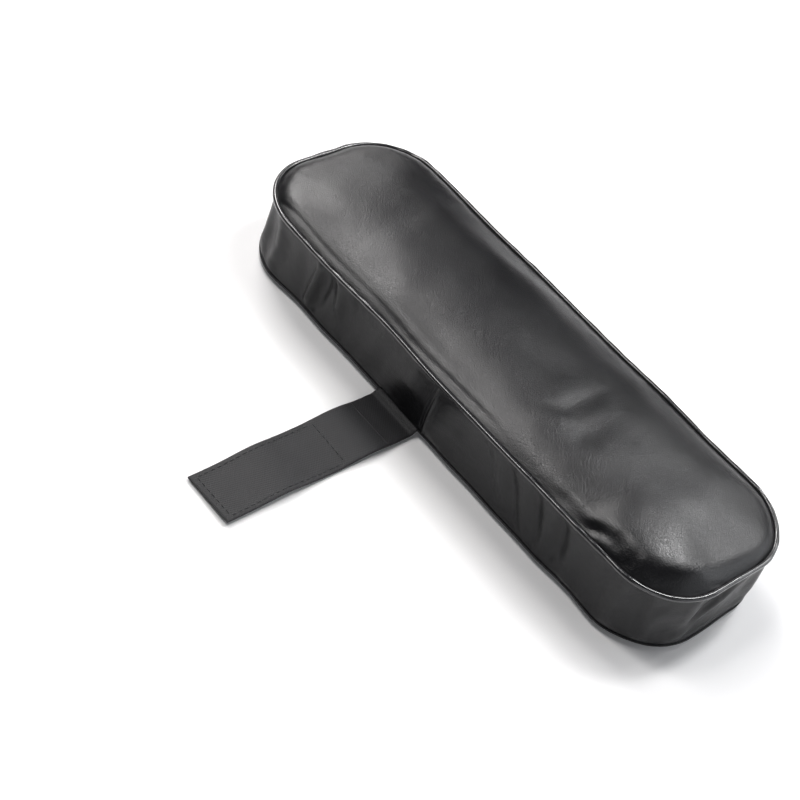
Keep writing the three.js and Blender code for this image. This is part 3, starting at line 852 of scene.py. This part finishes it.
foam("support_foam", colour=(0.62, 0.66, 0.70))


def dress(obj, finish, slot=None, body="pad", replaces=()):
    """Give an object its material, and tell the frame what it is."""
    obj.data.materials.clear()
    obj.data.materials.append(FINISHES[finish])
    if body:
        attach(obj, body)
    if replaces:
        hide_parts(*replaces)


def piece(name, shape, finish, smooth=True, **roles):
    """Make and dress a mesh; shape is (vertices, faces)."""
    obj = make_mesh(name, *shape, smooth=smooth)
    dress(obj, finish, **roles)


def leather_piece(name, shape, node):
    """A panel of the cover, given the leather's thickness inwards."""
    obj = make_mesh(name, *shape)
    solid = obj.modifiers.new("thickness", "SOLIDIFY")
    solid.thickness = LEATHER_THICK * 0.001
    solid.offset = -1.0
    solid.use_even_offset = False
    dress(obj, "pu_leather", replaces=(node,))


# --------------------------------------------------------------------- cover

leather_piece("cover_top", build_top(), "top_panel")


def bands():
    """The side bands, parted at the join seam."""
    verts, faces, runs = build_band()
    face_runs = np.array([runs[list(face)].mean() for face in faces])
    front = face_runs < near_run(JOIN_X)
    leather_piece("cover_band_front", take(verts, faces, front), "front_side_band")
    leather_piece("cover_band_rear", take(verts, faces, ~front), "rear_side_band")


bands()


def zip_run(x):
    return (ZIP_START + (x + ZIP_HALF)) % PERIMETER


def zip_span(run, upper):
    """Lowest and highest z of the leather above or below the zip."""
    return (18.4, seam_z(run) - BAND_DROP) if upper else (0.6, 10.6)


def zip_panel_y(run, z, upper):
    """Far surface of the leather above or below the zip."""
    low, high = zip_span(run, upper)
    level = (z - low) / (high - low)
    inward = 0.45 - 0.85 * np.sin(math.pi * (0.12 + 0.76 * level))
    if upper:
        sewn = level**3
        seam = BAND_INSET_TOP + seam_inward(run)
    else:
        sewn = (1 - level) ** 3
        seam = BAND_INSET_BASE + base_inward(run)
    inward = inward * (1 - sewn) + seam * sewn
    ripple = 0.20 * band_long_waves(run, z) + 0.10 * band_short_waves(run, z)
    return HALF_WIDTH - (inward - ripple * np.sin(math.pi * level))


def zip_panel(upper):
    """Half of the zip panel on the far side."""
    columns, levels = detail((180, 12), (60, 6))
    end_x = ZIP_HALF - 0.15
    along = np.linspace(-end_x, end_x, columns)
    x, level = np.meshgrid(along, np.linspace(0, 1, levels), indexing="ij")
    run = zip_run(x)
    low, high = zip_span(run, upper)
    z = low + (high - low) * level
    verts = np.stack([x, zip_panel_y(run, z, upper), z], -1).reshape(-1, 3)
    verts, faces = subdivide(verts, grid_faces(columns, levels))
    return verts, flipped(faces)


leather_piece("cover_zip_upper", zip_panel(upper=True), "zip_band_upper")
leather_piece("cover_zip_lower", zip_panel(upper=False), "zip_band_lower")


# -------------------------------------------------------------------- piping

UP = np.array([0, 0, 1.0])


def tube(path, outward, radius, sides):
    """A closed tube along path; radius is one number or one per point."""
    angle = np.linspace(0, 2 * math.pi, sides, endpoint=False)[None, :, None]
    ring = outward[:, None] * np.cos(angle) + UP * np.sin(angle)
    verts = path[:, None] + np.reshape(radius, (-1, 1, 1)) * ring
    return verts.reshape(-1, 3), grid_faces(len(path), sides, True, True)


def build_piping():
    sides = 18
    run = ring_runs(detail(900, 300))
    points, outward = outline(run, 0.45 + seam_inward(run))
    path = np.c_[points, seam_z(run)]
    outward = np.c_[outward, np.zeros(len(outward))]
    # fine gathers, 61 round the pad, that come and go nine times
    turns = 2 * math.pi * run / PERIMETER
    gathers = np.sin(turns * 61) * (0.5 + 0.5 * np.sin(turns * 9))
    radius = 1.05 + 0.05 * gathers + 0.05 * piping_waves(run)
    verts, faces = tube(path, outward, radius, sides)
    piece("piping_cover", (verts, flipped(faces)), "pu_piping", replaces=("top_piping_cover",))
    # seam allowance behind the piping, tucked in between panel and band:
    # corners of its section, outward and up from the piping's centre
    corners = ((-0.7, -0.25), (-3.2, -0.45), (-3.2, -0.95), (-0.7, -0.85))
    verts = np.stack([path + outward * out + UP * rise for out, rise in corners], 1)
    faces = grid_faces(len(path), len(corners), True, True)
    piece("piping_flange", (verts.reshape(-1, 3), faces), "pu_piping")
    cord = tube(path, outward, radius=0.7, sides=sides // 2)
    piece("piping_cord", cord, "piping_cord", replaces=("top_piping_cord",))


build_piping()


# ---------------------------------------------------------------- base panel

# section of the rolled edge: inset, z
BASE_SECTION = (
    (3.0, 0.72), (0.9, 0.66), (0.28, 0.52), (0.02, 0.30), (0.22, 0.10), (0.9, 0.02), (2.4, 0.0),
)


def base_panel():
    count = detail(700, 260)
    run = ring_runs(count)
    rings = []
    for inward, z in BASE_SECTION:
        points, _ = outline(run, inward + base_inward(run))
        rings.append(np.c_[points, np.full(count, z)])
    return loft(rings)


piece("base_panel", base_panel(), "base_fabric", replaces=("bottom_panel",))

DOT_RADIUS, DOT_HEIGHT, DOT_SIDES = 1.15, 0.28, 10
DOT_PITCH, DOT_ROW_PITCH = 6.0, 5.2


def dot(centre_x, centre_y):
    """A low rounded dot on the underside."""
    sides = DOT_SIDES
    angle = np.arange(sides) * 2 * math.pi / sides
    verts = []
    # share of the radius, z
    for share, z in ((1.0, 0.02), (0.86, -DOT_HEIGHT * 0.55), (0.45, -DOT_HEIGHT * 0.95)):
        radius = DOT_RADIUS * share
        x = centre_x + radius * np.cos(angle)
        y = centre_y + radius * np.sin(angle)
        verts.append(np.c_[x, y, np.full(sides, z)])
    verts.append(np.array([[centre_x, centre_y, -DOT_HEIGHT]]))
    faces = []
    for k in range(2):
        low, high = k * sides, (k + 1) * sides
        for i in range(sides):
            j = (i + 1) % sides
            faces.append((low + i, high + i, high + j, low + j))
    last = 2 * sides
    faces += [(last + i, last + sides, last + (i + 1) % sides) for i in range(sides)]
    return np.concatenate(verts), faces + [tuple(range(sides))]


def grip_dots():
    """Staggered rows of dots, left out at the edge and round the far strap."""
    dots = []
    for j, y in enumerate(np.arange(-36, 36.1, DOT_ROW_PITCH)):
        for x in np.arange(-120 + (DOT_PITCH / 2 if j % 2 else 0), 120.1, DOT_PITCH):
            at_strap = abs(x - STRAP_X) < 14.6 and y > -31.5
            if inset(x, y) >= 4.0 and not at_strap:
                dots.append(dot(x, y))
    return merge(dots)


piece("base_grip_dots", grip_dots(), "grip_dots", slot="base_fabric")

# ---------------------------------------------------------------------- core


def core_layer(name, rings, node):
    """A foam layer through rings of (inset, z); z may be a function of x, y, run."""
    run = ring_runs(260)
    lofted = []
    for inward, height in rings:
        points, _ = outline(run, inward)
        if callable(height):
            z = height(points[:, 0], points[:, 1], run)
        else:
            z = np.full(len(run), float(height))
        lofted.append(np.c_[points, z])
    piece(name, loft(lofted), name_to_finish[name], smooth=False, replaces=(node,))


def below_top(gap):
    """A height function lying gap below the top panel."""
    return lambda x, y, run: SEAM_Z + top_height(x, y, run) - gap


name_to_finish = {"foam_support": "support_foam", "foam_memory": "memory_foam"}
core_layer(
    "foam_support",
    [(8, 3.6), (6.4, 3.7), (5.8, 4.6), (5.8, 14.8), (6.4, 15.6), (8, 15.6)],
    "support_foam_base",
)
core_layer(
    "foam_memory",
    [
        (8, 16.3), (6.6, 16.4), (6.0, 17.2), (6.0, 24.0), (7.0, 26.0),
        (10, below_top(4.4)), (15, below_top(3.8)), (22, below_top(3.6)), (27.5, below_top(3.6)),
    ],
    "memory_foam_layer",
)

# -------------------------------------------------------------------- straps


def tape_section(width, thick):
    """Rounded flat section with a low rib near each edge: (across, up) pairs."""
    half, top = width / 2, thick / 2
    # one rounded edge, from its lower side to its upper: in from the edge, up
    edge = ((0.5, -1), (0.12, -0.75), (0, -0.2), (0, 0.2), (0.12, 0.75), (0.5, 1))
    left = [(-half + inward, top * share) for inward, share in edge]
    right = [(half - inward, top * share) for inward, share in edge[::-1]]
    inner = np.linspace(-half + 1.1, half - 1.1, 17)
    ribs = 0.045 * (np.abs(np.abs(inner) - (half - 1.6)) < 0.6)
    upper = list(zip(inner, top + ribs))
    lower = [(across, -top) for across in inner[::-1]]
    return np.array(left + upper + right + lower)


def tape_mesh(path, width, thick, tilt=0.0):
    """A tape along path, which is (y, z) pairs; tilt is its rise per x at each."""
    up = side_normals(path)
    if up[0, 1] < 0:
        up = -up
    section = tape_section(width, thick)
    tilt = np.broadcast_to(tilt, len(path))
    rise = section[None, :, 1] + tilt[:, None] * section[None, :, 0]
    verts = np.zeros((len(path), len(section), 3))
    verts[:, :, 0] = STRAP_X + section[None, :, 0]
    verts[:, :, 1] = path[:, 0, None] + up[:, 0, None] * rise
    verts[:, :, 2] = path[:, 1, None] + up[:, 1, None] * rise
    return verts.reshape(-1, 3), bar_faces(len(path), len(section))


def faced_out(verts, faces):
    """The faces, turned over if the signed volume is negative."""
    volume = 0.0
    for face in faces:
        first = verts[face[0]] - verts[0]
        for i in range(1, len(face) - 1):
            second, third = verts[face[i]] - verts[0], verts[face[i + 1]] - verts[0]
            volume += float(np.dot(first, np.cross(second, third)))
    return flipped(faces) if volume < 0 else faces


def strap_part(name, shape, replaces):
    """A length of strap in webbing, its faces turned outward, attached to no body."""
    verts, faces = shape
    obj = make_mesh(name, verts, faced_out(verts, faces))
    dress(obj, "strap_webbing", body=None, replaces=replaces)
    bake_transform(obj)


def spline(points, count):
    """Catmull-Rom through the points, sampled at even run."""
    knots = np.asarray(points, float)
    knots = np.vstack([2 * knots[0] - knots[1], knots, 2 * knots[-1] - knots[-2]])
    part = np.linspace(0, 1, 40, endpoint=False)[:, None]
    curve = []
    for i in range(1, len(knots) - 2):
        before, here, after, beyond = knots[i - 1 : i + 3]
        curve.append(0.5 * (
            2 * here
            + (after - before) * part
            + (2 * before - 5 * here + 4 * after - beyond) * part**2
            + (3 * here - before - 3 * after + beyond) * part**3
        ))
    curve = np.vstack(curve + [knots[-2:-1]])
    run = np.r_[0, np.cumsum(np.linalg.norm(np.diff(curve, axis=0), axis=1))]
    even = np.linspace(0, run[-1], count)
    return np.c_[np.interp(even, run, curve[:, 0]), np.interp(even, run, curve[:, 1])]


# The near strap carries the hooks and lies out along the floor.
HOOK_ROOT = (
    (-37.8, 0.72), (-39.8, 0.62), (-40.9, 0.25), (-41.9, -0.40), (-43.2, -0.85), (-45.0, TAPE_Z),
)  # y, z
HOOK_MID_Y, HOOK_END_Y = -54.4, -132.3


def hook_z(y):
    """Height of the near strap's centre: two low waves along the floor."""
    out = -np.asarray(y, float)
    wave = 1.15 * (1 - np.cos((out - 46) / 36.0 * 2 * math.pi)) / 2 * (1 - ease(out, 78, 88))
    return TAPE_Z + ease(out, 44, 60) * wave + 1.3 * bell(out, 104, 11.0)


def hook_tilt(y):
    """Rise of the near strap per x."""
    y = np.asarray(y)
    return 0.035 * np.sin((y + 50) / 17.0) * ease(-y, 46, 62)


def hook_strap():
    root = spline(HOOK_ROOT, 26)
    y = np.linspace(HOOK_ROOT[-1][0], HOOK_MID_Y, 20)[1:]
    path = np.vstack([root, np.c_[y, hook_z(y)]])
    strap_part(
        "hook_strap_root",
        tape_mesh(path, TAPE_WIDTH, HOOK_THICK, hook_tilt(path[:, 0])),
        replaces=("hook_strap_anchor", "hook_strap_base"),
    )
    y = np.linspace(HOOK_MID_Y, HOOK_END_Y, 150)
    strap_part(
        "hook_strap_length",
        tape_mesh(np.c_[y, hook_z(y)], TAPE_WIDTH, HOOK_THICK, hook_tilt(y)),
        replaces=("hook_strap_end",),
    )


hook_strap()

# centre line of one hook: y, z from its foot
HOOK_LINE = np.array([(0, 0), (0, -0.18), (0.08, -0.27), (0.24, -0.28), (0.33, -0.18)])
HOOK_HALF_WIDTH = 0.10


def hook_shape(lean):
    """One hook at the origin, curling towards +Y or -Y by the sign of lean."""
    line = HOOK_LINE * (lean, 1)
    half = HOOK_HALF_WIDTH
    verts = []
    for (y, z), (shift_y, shift_z) in zip(line, side_normals(line) * half):
        verts += [(-half, y - shift_y, z - shift_z), (half, y - shift_y, z - shift_z)]
        verts += [(half, y + shift_y, z + shift_z), (-half, y + shift_y, z + shift_z)]
    return np.array(verts)


def hook_surface():
    """A thin backing under the near strap with rows of small hooks."""
    y = np.linspace(-74.0, -130.6, 110)
    backing = 0.22
    tape_base = HOOK_THICK / 2
    path = np.c_[y, hook_z(y) - tape_base - 0.14]
    parts = [tape_mesh(path, 22.6, backing, hook_tilt(y))]
    faces = grid_faces(len(HOOK_LINE), 4, False, True) + [(0, 1, 2, 3), (19, 18, 17, 16)]
    shapes = hook_shape(-1), hook_shape(1)
    for j, y in enumerate(np.arange(-75.0, -129.8, -1.25)):
        for x in np.arange(STRAP_X - 10.6, STRAP_X + 10.7, 1.06):
            z = hook_z(y) + hook_tilt(y) * (x - STRAP_X) - (tape_base + backing)
            parts.append((shapes[j % 2] + (x, y, z), faces))
    return merge(parts)


piece(
    "hook_surface", hook_surface(), "hook_plastic", smooth=False,
    slot="hook_tape", body="hook_strap_tip", replaces=("hook_field",),
)

# The far strap carries the loops and is folded back under the pad.
LOOP_ROOT = (
    (37.6, 0.72), (39.6, 0.66), (40.9, 0.42), (41.55, -0.10), (41.2, -0.66), (40.2, -0.90),
    (38.4, TAPE_Z),
)  # y, z
LOOP_MID_Y, LOOP_END_Y = 29.0, -28.4


def loop_strap():
    root = spline(LOOP_ROOT, 40)
    y = np.linspace(LOOP_ROOT[-1][0], LOOP_MID_Y, 14)[1:]
    path = np.vstack([root, np.c_[y, np.full(len(y), TAPE_Z)]])
    strap_part(
        "loop_strap_root",
        tape_mesh(path, TAPE_WIDTH, LOOP_THICK),
        replaces=("loop_strap_anchor", "loop_strap_base"),
    )
    y = np.linspace(LOOP_MID_Y, LOOP_END_Y, 90)
    strap_part(
        "loop_strap_length",
        tape_mesh(np.c_[y, np.full(len(y), TAPE_Z)], TAPE_WIDTH, LOOP_THICK),
        replaces=("loop_strap_end",),
    )


loop_strap()

PILE_Z, PILE_TOP_Z = -1.62, -1.46  # face and upper side of the pile slab


def pile_slab():
    """A thin slab with a rough lower face."""
    across = np.linspace(-11.2, 11.2, 76) + STRAP_X
    x, y = np.meshgrid(across, np.linspace(14.4, -27.2, 130), indexing="ij")
    rough = np.stack([x, y, PILE_Z + 0.06 * pile_waves(x, y)], -1).reshape(-1, 3)
    count = len(rough)
    verts = np.vstack([rough, np.c_[rough[:, :2], np.full(count, PILE_TOP_Z)]])
    faces = grid_faces(*x.shape)
    index = np.arange(count).reshape(x.shape)
    rim = [*index[0], *index[1:, -1], *index[-1, -2::-1], *index[-2:0:-1, 0]]
    walls = [(i, j, j + count, i + count) for i, j in zip(rim, rim[1:] + rim[:1])]
    back = [tuple(i + count for i in face) for face in flipped(faces)]
    return verts, faces + back + walls


def loop_surface():
    """A brushed pile of small loops on a thin backing."""
    back_path = np.c_[np.linspace(14.8, -27.6, 30), np.full(30, -1.44)]
    parts = [pile_slab(), tape_mesh(back_path, 22.8, 0.14)]
    loop_rng = np.random.default_rng(5)
    half = 0.035
    faces = flipped(grid_faces(5, 3, False, True)) + [(2, 1, 0), (12, 13, 14)]
    for _ in range(1700):
        x = STRAP_X + loop_rng.uniform(-10.9, 10.9)
        y = loop_rng.uniform(-27.0, 14.2)
        angle = loop_rng.uniform(0, 2 * math.pi)
        length = loop_rng.uniform(0.35, 0.8)
        height = loop_rng.uniform(0.18, 0.42)
        along = np.array([math.cos(angle), math.sin(angle), 0])
        side = np.array([-math.sin(angle), math.cos(angle), 0]) * half
        verts = []
        for part in np.linspace(0, 1, 5):
            z = PILE_Z - height * math.sin(math.pi * part)
            centre = np.array([x, y, z]) + along * length * (part - 0.5)
            verts += [centre + side, centre - side, centre - UP * 2 * half]
        parts.append((np.array(verts), faces))
    return merge(parts)


piece(
    "loop_surface", loop_surface(), "loop_pile", smooth=False,
    slot="loop_tape", body="loop_strap_tip", replaces=("loop_field",),
)

# ----------------------------------------------------------------- stitching

STITCH_PITCH, STITCH_LENGTH = 2.9, 2.1
STITCH_RADIUS = 0.16
# along one stitch: share of its length, lift off the surface, share of its radius
STITCH_STATIONS = (
    (0, -0.10, 0.55), (0.14, 0.07, 0.9), (0.5, 0.13, 1.0), (0.86, 0.07, 0.9), (1, -0.10, 0.55),
)


def stitch(start, end, normal):
    """One stitch lying on a surface with the given normal."""
    normal = np.array(normal, float)
    heading = end - start
    length = np.linalg.norm(heading)
    heading = heading / length
    across = np.cross(heading, normal)
    verts = []
    for part, lift, share in STITCH_STATIONS:
        centre = start + heading * length * part + normal * lift
        for i in range(6):
            angle = i * math.pi / 3
            spoke = across * math.cos(angle) + normal * math.sin(angle)
            verts.append(centre + spoke * STITCH_RADIUS * share)
    return np.array(verts), bar_faces(len(STITCH_STATIONS), 6)


def run_stitches(points, normal):
    """Stitches along a polyline of 3-D points."""
    points = np.asarray(points, float)
    runs = np.r_[0, np.cumsum(np.linalg.norm(np.diff(points, axis=0), axis=1))]

    def place(run):
        return np.array([np.interp(run, runs, points[:, i]) for i in range(3)])

    stitches = []
    run = 0.4
    while run + STITCH_LENGTH < runs[-1]:
        stitches.append(stitch(place(run), place(run + STITCH_LENGTH), normal))
        run += STITCH_PITCH
    return stitches


def box_stitches(low_y, high_y, height):
    """A stitched rectangle on a strap; height gives z from x and y."""
    low_x, high_x = STRAP_X - 10.4, STRAP_X + 10.4
    stitches = []
    for start, end in (
        ((low_x, low_y), (low_x, high_y)),
        ((high_x, low_y), (high_x, high_y)),
        ((low_x, low_y), (high_x, low_y)),
        ((low_x, high_y), (high_x, high_y)),
    ):
        x, y = np.linspace(start, end, 60).T
        stitches += run_stitches(np.c_[x, y, height(x, y)], (0, 0, 1))
    return merge(stitches)


def hook_strap_top(x, y):
    return hook_z(y) + hook_tilt(y) * (x - STRAP_X) + HOOK_THICK / 2


def loop_strap_top(x, y):
    return np.full(len(x), TAPE_Z + LOOP_THICK / 2 - 0.02)


for kind, low_y, high_y, height in (
    ("hook", -129.6, -75.2, hook_strap_top),
    ("loop", -26.0, 13.4, loop_strap_top),
):
    piece(
        f"{kind}_field_stitches", box_stitches(low_y, high_y, height), "thread",
        body=f"{kind}_strap_tip", replaces=(f"{kind}_field_thread",),
    )


def seam_stitches(name, points, normal, node):
    piece(name, merge(run_stitches(points, normal)), "thread", replaces=(node,))


for half, z in (("upper", 20.2), ("lower", 8.9)):
    x = np.linspace(-83, 83, 160)
    y = zip_panel_y(zip_run(x), np.full(160, z), half == "upper") + 0.02
    points = np.c_[x, y, np.full(160, z)]
    seam_stitches(f"zip_topstitch_{half}", points, (0, 1, 0), f"zip_stitch_{half}")

# hidden seam rows, kept inside the seam allowances
seam_runs = ring_runs(420)
for kind, node, inward, z, normal in (
    ("base", "bottom", 1.25 + base_inward(seam_runs), np.full(420, 0.80), (0, 0, 1)),
    ("top", "top", 3.0 + seam_inward(seam_runs), seam_z(seam_runs) - 1.15, (0, 0, -1)),
):
    points = np.c_[outline(seam_runs, inward)[0], z]
    points = np.vstack([points, points[:1]])
    seam_stitches(f"{kind}_seam_stitches", points, normal, f"{node}_seam_thread")
points = [(JOIN_X, -37.9, z) for z in np.linspace(3.2, 26.4, 30)]
seam_stitches("band_join_stitches", points, (0, 1, 0), "band_join_thread")

# ----------------------------------------------------------------------- zip

COIL_Z, COIL_PITCH = 14.5, 1.38
# one bent loop of the coil: y, distance from the zip's middle, radius
COIL_PROFILE = np.array([
    (39.00, 1.95, 0.26), (39.55, 2.02, 0.26), (40.10, 1.70, 0.27), (40.36, 1.10, 0.28),
    (40.30, 0.50, 0.33), (39.95, 0.28, 0.34), (39.45, 0.34, 0.28), (39.05, 0.62, 0.24),
])


def coil(side):
    """A moulded coil above (1) or below (-1) the middle, heads towards the other."""
    loop = []
    for (y, away, radius), (out_y, out_z) in zip(COIL_PROFILE, side_normals(COIL_PROFILE[:, :2])):
        for i in range(6):
            angle = i * math.pi / 3
            rise = radius * math.sin(angle)
            x = radius * 1.35 * math.cos(angle)
            loop.append((x, y + out_y * rise, side * (away + out_z * rise)))
    faces = bar_faces(len(COIL_PROFILE), 6)
    if side < 0:
        faces = flipped(faces)
    stagger = 0 if side > 0 else COIL_PITCH / 2
    places = np.arange(-77.4, 77.5, COIL_PITCH) + stagger
    return merge([(np.array(loop) + (x, 0, COIL_Z), faces) for x in places])


piece("zip_teeth_upper", coil(1), "zip_nylon", replaces=("zip_coil_upper",))
piece("zip_teeth_lower", coil(-1), "zip_nylon", replaces=("zip_coil_lower",))


def show_cad(node, finish, bevel):
    """A CAD node shown as it is, with its finish and softened edges."""
    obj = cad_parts[node]
    obj.data.materials.clear()
    obj.data.materials.append(FINISHES[finish])
    if bevel:
        edges = obj.modifiers.new("edges", "BEVEL")
        edges.width = bevel / 1000
        edges.segments = 3
        edges.limit_method = "ANGLE"
        edges.angle_limit = math.radians(40)
        weighted = obj.modifiers.new("weld", "WEIGHTED_NORMAL")
        weighted.keep_sharp = False


# node, finish, bevel width
for node, finish, bevel in (
    ("zip_slider", "zip_metal", 0.16),
    ("zip_pull", "zip_metal", 0.16),
    ("zip_stop_front", "zip_metal", 0.3),
    ("zip_stop_rear", "zip_metal", 0.3),
    ("zip_tape_upper", "zip_tape", 0),
    ("zip_tape_lower", "zip_tape", 0),
    ("hook_anchor_thread", "thread", 0),
    ("loop_anchor_thread", "thread", 0),
):
    show_cad(node, finish, bevel)

# --------------------------------------------------------- stage, in metres


def build_floor():
    bpy.ops.mesh.primitive_plane_add(size=9, location=(0, 0, -0.00245))
    floor = bpy.context.object
    floor.name = "floor"
    shader, surface = new_material("floor_pale")
    blotches = shader.noise(scale=3.0, detail=2, rough=0.5)
    colour = shader.ramp(blotches, (0.3, (0.86, 0.86, 0.87)), (0.7, (0.90, 0.90, 0.90)))
    # the floor runs out into an even white backdrop well away from the pad; it is
    # clear from underneath, to show the base, and casts no shadow
    rays = shader.node("LightPath").outputs
    backfacing = shader.node("NewGeometry").outputs["Backfacing"]
    distance = shader.node("VectorMath", {0: shader.place}, operation="LENGTH")
    away = shader.map_range(distance.outputs["Value"], source=(0.30, 0.85), target=(0.0, 1.0))
    shader.fill(surface, {
        "Base Color": colour,
        "Roughness": 0.7,
        "Emission Color": (1, 1, 1, 1),
        "Emission Strength": shader.math("MULTIPLY", away, rays["Is Camera Ray"]),
    })
    below = shader.math("MULTIPLY", backfacing, rays["Is Camera Ray"])
    clear = shader.math("MAXIMUM", below, rays["Is Shadow Ray"])
    glass = shader.node("BsdfTransparent").outputs[0]
    mix = shader.node("MixShader", {0: clear, 1: surface.outputs[0], 2: glass})
    output = shader.tree.nodes["Material Output"]
    shader.fill(output, {"Surface": mix.outputs[0]})
    floor.data.materials.append(FINISHES["floor_pale"])


def build_world():
    """White to the camera, a dim fill to everything else."""
    look = bpy.context.scene.view_settings
    look.view_transform = "Standard"
    look.exposure = 0.2
    look.gamma = 0.88
    world = bpy.data.worlds.new("studio")
    bpy.context.scene.world = world
    world.use_nodes = True
    shader = Shader(world.node_tree)
    camera_ray = shader.node("LightPath").outputs["Is Camera Ray"]
    strength = shader.map_range(camera_ray, source=(0, 1), target=(0.06, 1.0))
    background = world.node_tree.nodes["Background"]
    shader.fill(background, {"Color": (1, 1, 1, 1), "Strength": strength})


build_floor()
build_world()

WARM, COOL, WHITE = (1.0, 0.982, 0.972), (0.95, 0.97, 1.0), (1, 1, 1)
# soft boxes aimed at the origin: name, place, width and height, watts, colour
SOFTBOXES = (
    ("key_high", (-0.354, -0.165, 0.920), (0.14, 0.32), 1.95, WARM),
    ("key_low", (-0.594, -0.277, 0.755), (0.23, 0.32), 1.45, WARM),
    ("key_near", (-0.264, -0.288, 0.920), (0.17, 0.32), 0.75, WARM),
    ("left", (-0.725, 0.246, 0.643), (0.37, 0.28), 4.0, WARM),
    ("left_high", (-0.559, 0.124, 0.819), (0.15, 0.25), 0.9, WARM),
    ("left_back", (-0.721, 0.563, 0.399), (0.19, 0.30), 0.7, WARM),
    ("back_mid", (0.030, 0.543, 0.839), (0.15, 0.25), 3.1, WHITE),
    ("back_high", (0.003, 0.325, 0.946), (0.10, 0.25), 1.1, WHITE),
    ("back_right", (0.203, 0.709, 0.676), (0.155, 0.26), 1.1, WHITE),
    ("back_low", (-0.057, 0.820, 0.570), (0.115, 0.54), 0.95, WHITE),
    ("right", (0.575, 0.710, 0.407), (0.56, 0.50), 2.1, COOL),
    ("right_low", (0.880, 0.110, 0.410), (0.70, 0.50), 1.1, COOL),
    ("front_fill", (0.70, -0.80, 0.35), (0.60, 0.50), 1.5, COOL),
    ("under", (0.10, 0.10, -0.95), (0.80, 0.80), 10.0, WHITE),
)
for name, place, size, power, colour in SOFTBOXES:
    light = bpy.data.lights.new(name, "AREA")
    light.shape = "RECTANGLE"
    light.size, light.size_y = size
    light.energy = power
    light.color = colour
    lamp = bpy.data.objects.new(name, light)
    bpy.context.scene.collection.objects.link(lamp)
    lamp.location = place
    lamp.rotation_euler = (-Vector(place)).to_track_quat("-Z", "Y").to_euler()


def build_camera():
    lens = bpy.data.cameras.new("camera")
    lens.lens = 84.76
    lens.sensor_width = 36.0
    lens.clip_start = 0.01
    camera = bpy.data.objects.new("camera", lens)
    bpy.context.scene.collection.objects.link(camera)
    forward = Vector((-0.39938, 0.58472, -0.70611)).normalized()
    right = forward.cross(Vector((-0.67067, 0.33878, 0.65987)).normalized()).normalized()
    up = right.cross(forward).normalized()
    turn = Matrix((right, up, -forward)).transposed().to_4x4()
    camera.matrix_world = Matrix.Translation((0.27557, -0.46620, 0.52034)) @ turn
    bpy.context.scene.camera = camera


build_camera()
